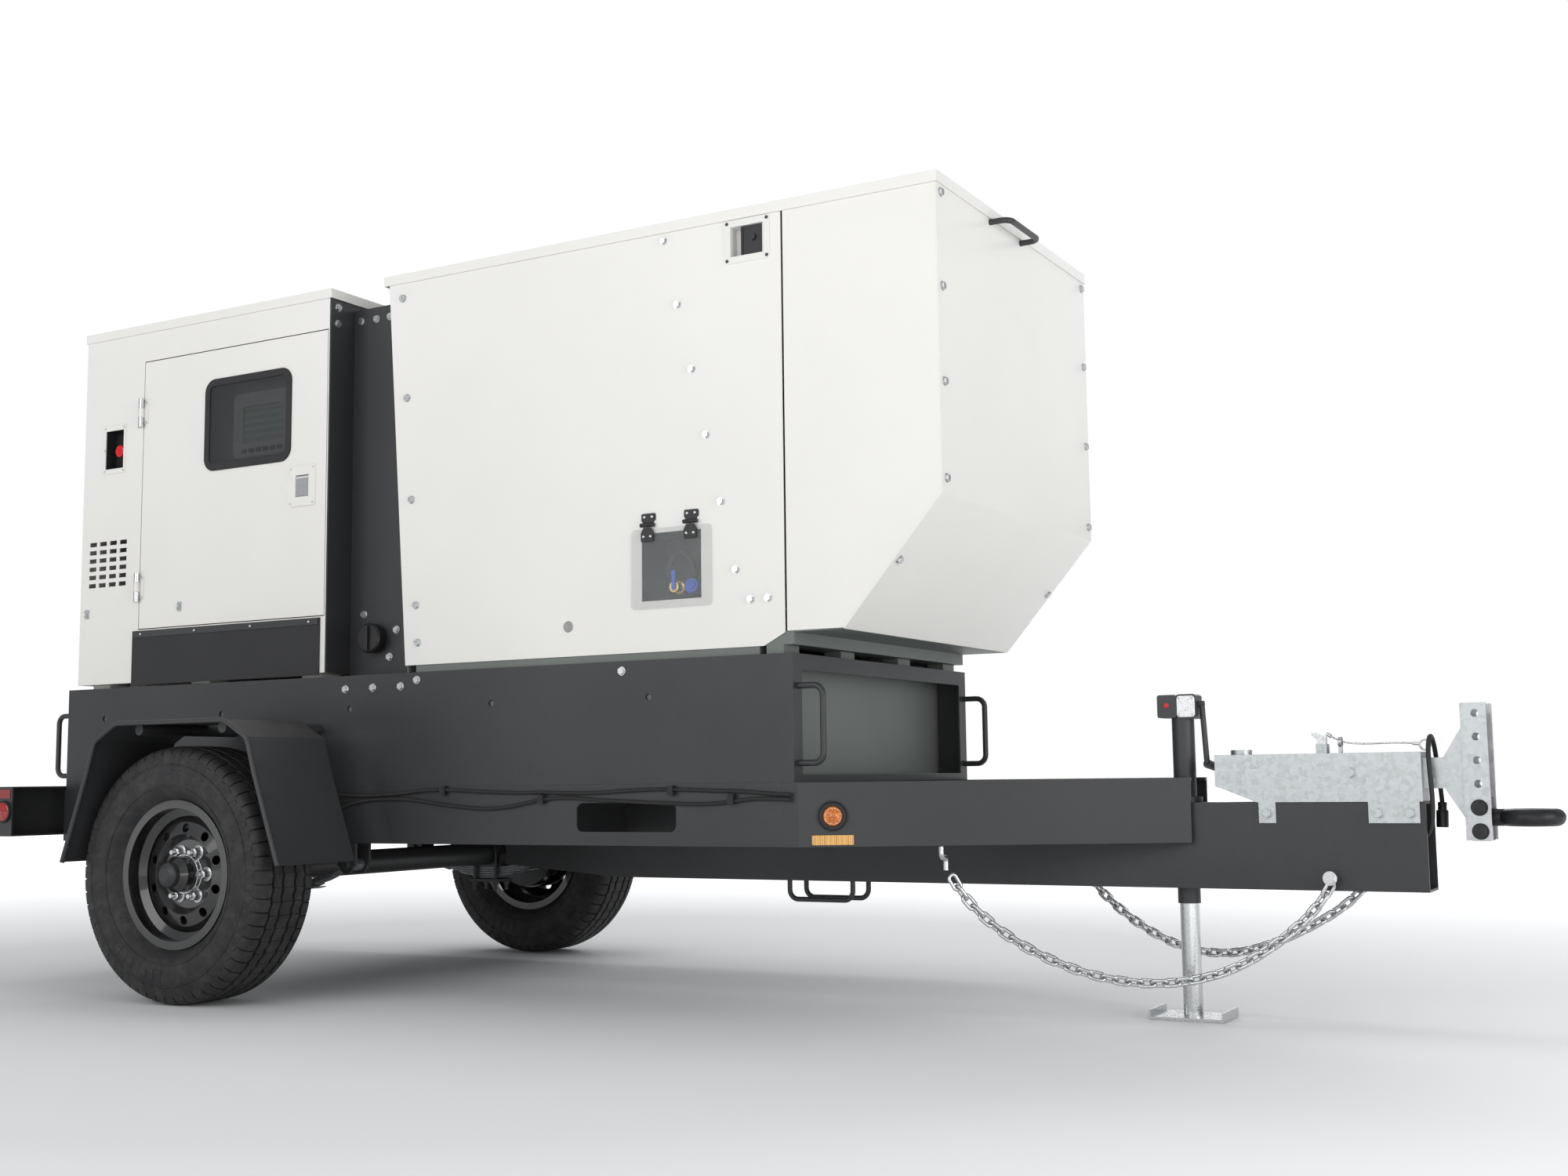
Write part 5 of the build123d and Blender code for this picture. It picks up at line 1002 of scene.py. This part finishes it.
# %% Flap, hinges, well and valve
flap_low, flap_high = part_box("access_flap")
flap_top = 1.267
flap_centre = Vector(((flap_low.x + flap_high.x) / 2, -0.5345, (flap_low.z + flap_top) / 2))
flap_outline = rounded_outline(flap_high.x - flap_low.x, flap_top - flap_low.z, 0.014, 8)
flap_piece = put("clear_flap", plate(flap_outline, 0.005, 0.0008), "flap", clear_flap, 30,
                 Matrix.Translation(flap_centre))
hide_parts("access_flap")
hinge_places = [1.361, 1.495]
flap_pin = Vector((0, -0.541, 1.277))


def wing(width, height, waist):
    """A butterfly leaf: wide at the far edge, waisted at the knuckle."""
    w, h = width / 2, height
    return [(waist / 2, 0), (w, -h * 0.35), (w, -h * 0.9), (w - 0.003, -h), (-w + 0.003, -h), (-w, -h * 0.9),
            (-w, -h * 0.35), (-waist / 2, 0)]


moving_parts, fixed_parts, screws_moving, screws_fixed = [], [], [], []
for x in hinge_places:
    moving_parts.append(placed(plate(wing(0.040, 0.038, 0.022), 0.0034), Matrix.Translation((x, -0.5396,
                                                                                             1.270))))
    moving_parts.append(placed(turned([(0, -0.0075), (0.0056, -0.0075), (0.0056, 0.0075), (0, 0.0075)], 20,
                                      "X"),
                               Matrix.Translation((x, flap_pin.y, flap_pin.z))))
    flipped = Matrix.Translation((x, -0.533, 1.2825)) @ Matrix.Diagonal((1, 1, -1, 1))
    leaf = placed(plate(wing(0.044, 0.026, 0.036), 0.0038), flipped)
    bmesh.ops.recalc_face_normals(leaf, faces=leaf.faces)
    fixed_parts.append(leaf)
    for k in (-1, 1):
        fixed_parts.append(placed(turned([(0, -0.0066), (0.0056, -0.0066), (0.0056, 0.0066), (0, 0.0066)],
                                         20, "X"),
                                  Matrix.Translation((x + k * 0.0146, flap_pin.y, flap_pin.z))))
        screws_moving.append((x + k * 0.011, -0.5430, 1.246))
        screws_fixed.append((x + k * 0.012, -0.5368, 1.299))
put("flap_hinge_leaves", joined(*moving_parts), "flap", black_plastic, 30)
put("flap_hinge_screws", many(lambda: pan_screw(0.0085), screws_moving), "flap", zinc_plate, 40)
put("flap_fixed_leaves", joined(*fixed_parts), "trailer", black_plastic, 30)
put("flap_fixed_screws", many(lambda: pan_screw(0.0085), screws_fixed), "trailer", zinc_plate, 40)

well_centre = Vector((1.430, -0.529, 1.165))
well = plate(rounded_outline(0.176, 0.166, 0.004, 3), 0.11, 0)
front = max(well.faces, key=lambda f: len(f.verts) * 1000 - f.calc_center_median().y)
well.faces.remove(front)
for face in well.faces:
    face.normal_flip()
put("drain_well", well, "trailer", black_plastic, 30, Matrix.Translation(well_centre + Vector((0, 0.11, 0))))
cap = turned([(0.019, 0), (0.021, -0.002), (0.021, -0.016), (0.019, -0.019), (0.012, -0.019), (0.011, -0.024),
              (0, -0.024)], 12)
put("blue_hose_cap", placed(cap, facing((1.477, -0.497, 1.107), (0.2, -1, 0.25))), "trailer", blue_plastic,
    30)
valve_body = turned([(0.014, 0.05), (0.014, 0), (0.018, -0.002), (0.018, -0.012), (0.011, -0.014),
                     (0.011, -0.026),
                     (0.015, -0.028), (0.015, -0.036), (0, -0.036)], 24)
put("drain_valve", placed(valve_body, facing((1.421, -0.470, 1.112), (0, -1, 0))), "trailer", gold_chromate,
    30)
valve_lever = bar((0.012, 0.004, 0.052), (0, -0.038, 0.018), 0.0015)
put("valve_lever", placed(valve_lever, facing((1.421, -0.470, 1.112), (0, -1, 0))), "trailer", blue_plastic,
    30)
hose_points = [(1.470, -0.470, 1.107), (1.462, -0.452, 1.120), (1.445, -0.440, 1.150), (1.430, -0.436, 1.190),
               (1.405, -0.440, 1.215), (1.375, -0.448, 1.200), (1.368, -0.455, 1.160)]
put("drain_hose", bent_bar(hose_points, 0.009), "trailer", hose_rubber, 60)
print("flap, hinges, well, valve and cap made")

# %% [markdown]
# ## The door window and the controller behind it
# The window is a smoked pane in a rubber moulding. Behind it the controller has a bezel, a dim
# screen and a row of blank keys. The pane hides most of it, yet an empty box would show.

# %% Window moulding, pane and controller
window_low, window_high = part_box("door_window")
window_centre = (window_low + window_high) / 2
width, height = window_high.x - window_low.x, window_high.z - window_low.z
moulding = plate(rounded_outline(width, height, 0.042, 8), 0.0042, 0.0012,
                 hole=rounded_outline(width - 0.046, height - 0.046, 0.019, 8))
at_door = Matrix.Translation((window_centre.x, -0.5325, window_centre.z))
window_piece = put("window_moulding", moulding, "control_door_leaf", hose_rubber, 40, at_door)
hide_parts("door_window")
put("window_pane", plate(rounded_outline(width - 0.044, height - 0.044, 0.019, 8), 0.003, 0.0004),
    "control_door_leaf", smoked_pane, 30, Matrix.Translation((window_centre.x, -0.5305, window_centre.z)))
controller = Vector((-0.107, -0.477, 1.725))
put("controller_bezel", plate(rounded_outline(0.256, 0.206, 0.020), 0.010, 0.002,
                              hole=rounded_outline(0.170, 0.116, 0.006)),
    "trailer", grey_plastic, 40, Matrix.Translation(controller))
put("controller_screen", plate(rounded_outline(0.168, 0.114, 0.005), 0.004, 0.0004), "trailer",
    meter_screen, 40,
    Matrix.Translation(controller))
keys = [(-0.107 - 0.075 + 0.030 * k, -0.487, 1.643) for k in range(6)]
put("controller_keys", many(lambda: plate(rounded_outline(0.022, 0.014, 0.004), 0.003, 0.0008), keys),
    "trailer",
    black_plastic, 40)
keys = [(-0.218, -0.487, 1.685 + 0.026 * k) for k in range(4)]
put("controller_side_keys", many(lambda: plate(rounded_outline(0.014, 0.018, 0.004), 0.003, 0.0008), keys),
    "trailer",
    grey_plastic, 40)
print("window and controller made")

# %% [markdown]
# ## Leaf springs
# A spring is five arched strips of different length clamped under the axle. The eyes at its ends are fixed to
# the frame and the middle moves with the axle, so the pack has to flex. It is made in two halves, front and
# rear, which keep their rest shape and ride on no body.

# %% The leaves and their eyes
spring_width = 0.045
spring_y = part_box("leaf_springs")[1].y - spring_width / 2
arch_radius = 0.820
arch_centre = hub_height - 0.038 - 0.008 + arch_radius
leaf_thick = 0.008


def half_spring(side, way):
    """Half of one spring pack: five leaves, a rebound clip and the eye. way is 1 for the front."""
    makers = []
    for k in range(5):
        reach = math.asin((0.310 - 0.062 * k) / arch_radius)
        maker = bmesh.new()
        before = None
        for s in range(21):
            angle = way * reach * s / 20
            thin = 1 - 0.45 * max(0, (s - 16) / 4)
            inner = arch_radius + leaf_thick * k + 0.0003
            outer = inner + (leaf_thick - 0.0006) * thin
            half = 0.0225 * (1 - 0.18 * max(0, (s - 17) / 3))
            ring = []
            for radius, across in ((inner, -half), (inner, half), (outer - 0.001, half),
                                   (outer, half - 0.002),
                                   (outer, -half + 0.002), (outer - 0.001, -half)):
                place = (radius * math.sin(angle), side * spring_y + across,
                         arch_centre - radius * math.cos(angle))
                ring.append(maker.verts.new(place))
            if before:
                for c in range(6):
                    maker.faces.new((before[c], before[(c + 1) % 6], ring[(c + 1) % 6], ring[c]))
            else:
                maker.faces.new(ring)
            before = ring
        maker.faces.new(before)
        bmesh.ops.recalc_face_normals(maker, faces=maker.faces)
        makers.append(maker)
    eye_height = arch_centre - math.sqrt((arch_radius + leaf_thick / 2) ** 2 - 0.32 ** 2)
    at_eye = Matrix.Translation((way * 0.320, side * spring_y, eye_height))
    eye = turned([(0.0125, -0.0225), (0.0175, -0.0225), (0.018, -0.022), (0.018, 0.022), (0.0175, 0.0225),
                  (0.0125, 0.0225)], 40, closed=True)
    makers.append(placed(eye, at_eye))
    clip = bar((0.022, 0.050, 0.003), (0, 0, -0.0135), 0.0008)
    makers.append(placed(clip, Matrix.Translation((way * 0.175, side * spring_y,
                                                   arch_centre - arch_radius * 0.9775
                                                   - 0.0130)) @ Matrix.Rotation(-way * 0.21, 4, "Y")))
    return makers


for way, name in ((1, "front"), (-1, "rear")):
    piece = put("leaf_springs_" + name, joined(*half_spring(-1, way), *half_spring(1, way)), None,
                spring_steel, 30)
    if way == 1:
        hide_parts("leaf_springs")
    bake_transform(piece)
bushes = []
for way in (-1, 1):
    for side in (-1, 1):
        for face in (-1, 1):
            bush = turned([(0.0085, 0), (0.0165, 0), (0.017, -0.0008), (0.0165, -0.0022),
                           (0.0085, -0.0022)], 32,
                          closed=True)
            place = (way * 0.320, side * spring_y + face * 0.0226,
                     arch_centre - math.sqrt(0.824 ** 2 - 0.32 ** 2))
            bushes.append(placed(bush, facing(place, (0, face, 0))))
put("spring_bushes", joined(*bushes), "trailer", teal_bush, 40)
print("springs and bushes made")

# %% [markdown]
# ## The free cable and cord at the hitch
# A thin wire cable runs from the emergency lever to a ring, and a jacketed cord loops over the
# slide and hangs down to its parked plug. Each is one smooth spline through a few route points.
# The wire is twisted from strands in life, so its tube carries a helical thread.

# %% The cord to the parked plug
cord_route = [(3.180, -0.022, 0.440), (3.205, -0.030, 0.452), (3.220, -0.044, 0.482), (3.224, -0.054, 0.522),
              (3.224, -0.059, 0.566), (3.221, -0.058, 0.612), (3.219, -0.050, 0.652), (3.218, -0.030, 0.678),
              (3.218, -0.002, 0.688), (3.218, 0.026, 0.680), (3.219, 0.049, 0.654), (3.221, 0.058, 0.612),
              (3.225, 0.059, 0.570), (3.228, 0.056, 0.530)]
cord_line = smooth_line(cord_route, resolution=8)
cord_curve = bpy.data.curves.new("brake_cord", "CURVE")
cord_curve.dimensions = "3D"
cord_curve.bevel_depth = 0.0055
cord_curve.bevel_resolution = 5
cord_curve.use_fill_caps = True
spline = cord_curve.splines.new("NURBS")
spline.points.add(len(cord_route) - 1)
for control, place in zip(spline.points, cord_route):
    control.co = (*place, 1)
spline.order_u = 3
spline.use_endpoint_u = True
spline.resolution_u = 8
cord = bpy.data.objects.new("brake_cord", cord_curve)
bpy.context.scene.collection.objects.link(cord)
cord_curve.materials.append(hose_rubber)
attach(cord, "trailer")
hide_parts("brake_lead")
plug_profile = [(0, 0), (0.0095, 0), (0.0105, 0.002), (0.0105, 0.010), (0.0095, 0.011), (0.0105, 0.012),
                (0.0105, 0.018), (0.0135, 0.020), (0.0140, 0.022), (0.0140, 0.056), (0.0130, 0.060),
                (0, 0.060)]
plug = put("parked_plug", placed(turned([(r, -y) for r, y in plug_profile], 28),
                                 facing((3.228, 0.056, 0.530), (-0.03, -0.03, -1))), "trailer",
                                 black_plastic, 30)

# %% The emergency wire with its ring
wire_route = [(2.982, 0, 0.694), (3.010, 0, 0.676), (3.060, 0.002, 0.670), (3.120, 0.005, 0.672),
              (3.172, 0.005, 0.671), (3.192, 0.003, 0.668)]
wire_line = smooth_line(wire_route, resolution=10)
strands = []
for strand in range(3):
    twisted = []
    run = 0
    for k, here in enumerate(wire_line):
        ahead = (wire_line[min(k + 1, len(wire_line) - 1)] - wire_line[max(k - 1, 0)]).normalized()
        side_way = ahead.cross(Vector((0, 0, 1))).normalized()
        up_way = side_way.cross(ahead)
        angle = run / 0.022 * 2 * math.pi + strand * 2 * math.pi / 3
        twisted.append(here + 0.0011 * (math.cos(angle) * side_way + math.sin(angle) * up_way))
        run += (wire_line[min(k + 1, len(wire_line) - 1)] - here).length
    strands.append(bent_bar(twisted, 0.0014, sides=8))
ring = turned([(0.012 + 0.0025 * math.cos(a * math.pi / 6),
                0.0025 * math.sin(a * math.pi / 6)) for a in range(12)],
              40, closed=True)
ferrule = turned([(0, 0.007), (0.0042, 0.007), (0.0045, 0.006), (0.0045, -0.006), (0.0042, -0.007),
                  (0, -0.007)], 20)
end_sleeve = turned([(0, 0.008), (0.0036, 0.008), (0.0040, 0.006), (0.0040, -0.006), (0.0036, -0.008),
                     (0, -0.008)], 20)
wire = put("emergency_wire", joined(*strands), None, zinc_plate, 40)
ends = put("wire_ends", joined(placed(ferrule, facing((2.984, 0, 0.693), (0.84, 0, -0.54))),
                               placed(end_sleeve, facing((3.184, 0.004, 0.669), (-1, 0, 0.1))),
                               placed(ring, Matrix.Translation((3.204, 0.003, 0.666)))), None, zinc_plate, 40)
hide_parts("breakaway_cable")
for piece in (wire, ends):
    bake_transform(piece)

# %% [markdown]
# ## Screws, hasps and small plates
# Screws are what a plain door lacks: four on each hinge, six round the stop button, four on the
# curtain band and on each latch plate. They share two shapes and are laid out from the part
# they hold, so each is one short list of places.

# %% Hinge and plate screws
def small_screw():
    return pan_screw(0.0085)


door_hinge_x = -0.5865
moving, fixed = [], []
for height in (1.236, 1.801):
    for step in (-0.030, 0.030):
        moving.append((door_hinge_x + 0.0150, -0.5362, height + step))
        fixed.append((door_hinge_x - 0.0155, -0.5362, height + step))
put("door_hinge_screws", many(small_screw, moving), "control_door_leaf", zinc_plate, 40)
put("door_post_screws", many(small_screw, fixed), "trailer", zinc_plate, 40)
moving, fixed = [], []
for height in (1.200, 1.770):
    for step in (-0.030, 0.030):
        moving.append((0.6385 + 0.026, 0.5362, height + step))
        fixed.append((0.6385 - 0.026, 0.5362, height + step))
put("service_hinge_screws", many(small_screw, moving, (0, 1, 0)), "service_door_leaf", zinc_plate, 40)
put("service_post_screws", many(small_screw, fixed, (0, 1, 0)), "trailer", zinc_plate, 40)
latch_corners = [(x, -0.5372, z) for x in (0.067, 0.157) for z in (1.447, 1.553)]
put("door_latch_screws", many(lambda: pan_screw(0.006), latch_corners), "control_door_leaf", zinc_plate, 40)
stop_screws = [(-0.718 + x, -0.5362, 1.696 + z) for x in (-0.044, 0.044) for z in (-0.071, 0, 0.071)]
put("stop_plate_screws", many(lambda: pan_screw(0.007), stop_screws), "trailer", zinc_plate, 40)
flush_screws = [(1.672 + x, -0.5362, 2.005 + z) for x in (-0.060, 0.060) for z in (-0.050, 0.050)]
put("flush_latch_screws", many(lambda: pan_screw(0.009), flush_screws), "trailer", black_coat, 40)
band = bar((0.792, 0.0025, 0.020), (-0.2075, -0.5393, 1.086), 0.0006)
put("curtain_band", band, "trailer", black_coat, 40)
band_screws = [(-0.2075 + x, -0.5406, 1.086) for x in (-0.36, -0.12, 0.12, 0.36)]
put("curtain_screws", many(small_screw, band_screws), "trailer", zinc_plate, 40)
print("screws laid out")

# %% Hasps, plug and gear cover
def hasp():
    """A small plate with a staple standing out of it."""
    base = plate(rounded_outline(0.020, 0.030, 0.003), 0.0015, 0.0003)
    staple = bent_bar([(0, -0.001, -0.008), (0, -0.010, -0.008), (0, -0.014, -0.004), (0, -0.014, 0.004),
                       (0, -0.010, 0.008), (0, -0.001, 0.008)], 0.0017, 10)
    return joined(base, staple, placed(pan_screw(0.004), Matrix.Translation((0, -0.0015, 0.012))),
                  placed(pan_screw(0.004), Matrix.Translation((0, -0.0015, -0.012))))


liner = plate(rounded_outline(0.0834, 0.1254, 0.002, 3), 0.0390, 0)
mouth = min(liner.faces, key=lambda f: f.calc_center_median().y)
liner.faces.remove(mouth)
for face in liner.faces:
    face.normal_flip()
put("stop_recess_liner", placed(liner, Matrix.Translation((-0.718, -0.4935, 1.696))), "trailer",
    black_plastic, 30)
put("door_hasp", placed(hasp(), Matrix.Translation((-0.402, -0.5332, 1.165))), "control_door_leaf",
    zinc_plate, 40)
put("strip_hasp", placed(hasp(), Matrix.Translation((-0.828, -0.5332, 1.163))), "trailer", zinc_plate, 40)
side_plug = turned([(0.0150, 0), (0.0155, -0.0010), (0.0140, -0.0025), (0.0110, -0.0030), (0.0100, -0.0022),
                    (0, -0.0022)], 32)
put("side_plug", placed(side_plug, Matrix.Translation((1.098, -0.5331, 1.021))), "trailer", grey_plastic, 40)
gear_cover = plate(rounded_outline(0.046, 0.054, 0.008), 0.0015, 0.0004)
cover_screws = many(lambda: pan_screw(0.005), [(x, -0.0015, z) for x in (-0.017, 0.017) for z in (-0.021,
                                                                                                  0.021)])
put("gear_cover", placed(joined(gear_cover, cover_screws), Matrix.Translation((2.641, -0.0291, 0.773))),
    "trailer",
    zinc_plate, 40)
oil_dot = turned([(0.0065, 0), (0.0067, -0.0008), (0.0055, -0.0020), (0, -0.0024)], 24)
put("oil_plug", placed(oil_dot, Matrix.Translation((2.592, -0.0321, 0.776))), "trailer", red_plastic, 40)
print("hasps, plug and cover made")

# %% [markdown]
# ## The floor
# The machine stands on a plain pale sweep. It takes soft contact shadows and has a faint mottling to keep it
# from looking like glass. Beyond about two and a half metres from its middle it glows white, fully so by nine
# metres, a painted glow that fades it into the bright backdrop.

# %% Floor
floor_finish = Finish("pale_floor", roughness=0.7, specular_ior_level=0.2)
mottled = floor_finish.colours(floor_finish.noise(0.8, 4), (0.86, 0.865, 0.87), (0.90, 0.90, 0.90))
floor_finish.feed("Base Color", mottled)
distance_away = floor_finish.node("ShaderNodeVectorMath", {0: floor_finish.spot()}, output="Value",
                                  operation="LENGTH")
# Painted glow: the floor emits white more strongly the farther it is from its middle, so that it merges with
# the backdrop.
far_glow = floor_finish.ramp(distance_away * (1 / 20), (0.12, 0), (0.45, 1))
floor_finish.feed("Emission Color", floor_finish.colours(far_glow, (0, 0, 0), (1, 1, 1)))
floor_finish.feed("Emission Strength", 1.0)
ground = bmesh.new()
bmesh.ops.create_circle(ground, cap_ends=True, segments=96, radius=70)
floor = put("floor", ground, None, floor_finish.material)
floor.location = (0.5, 0, -0.0005)
print("floor laid")

# %% [markdown]
# ## Pieces made
# The last line prints how many pieces were made on each body.

# %% Print the pieces made on each body
print("pieces made on each body:", made_count)
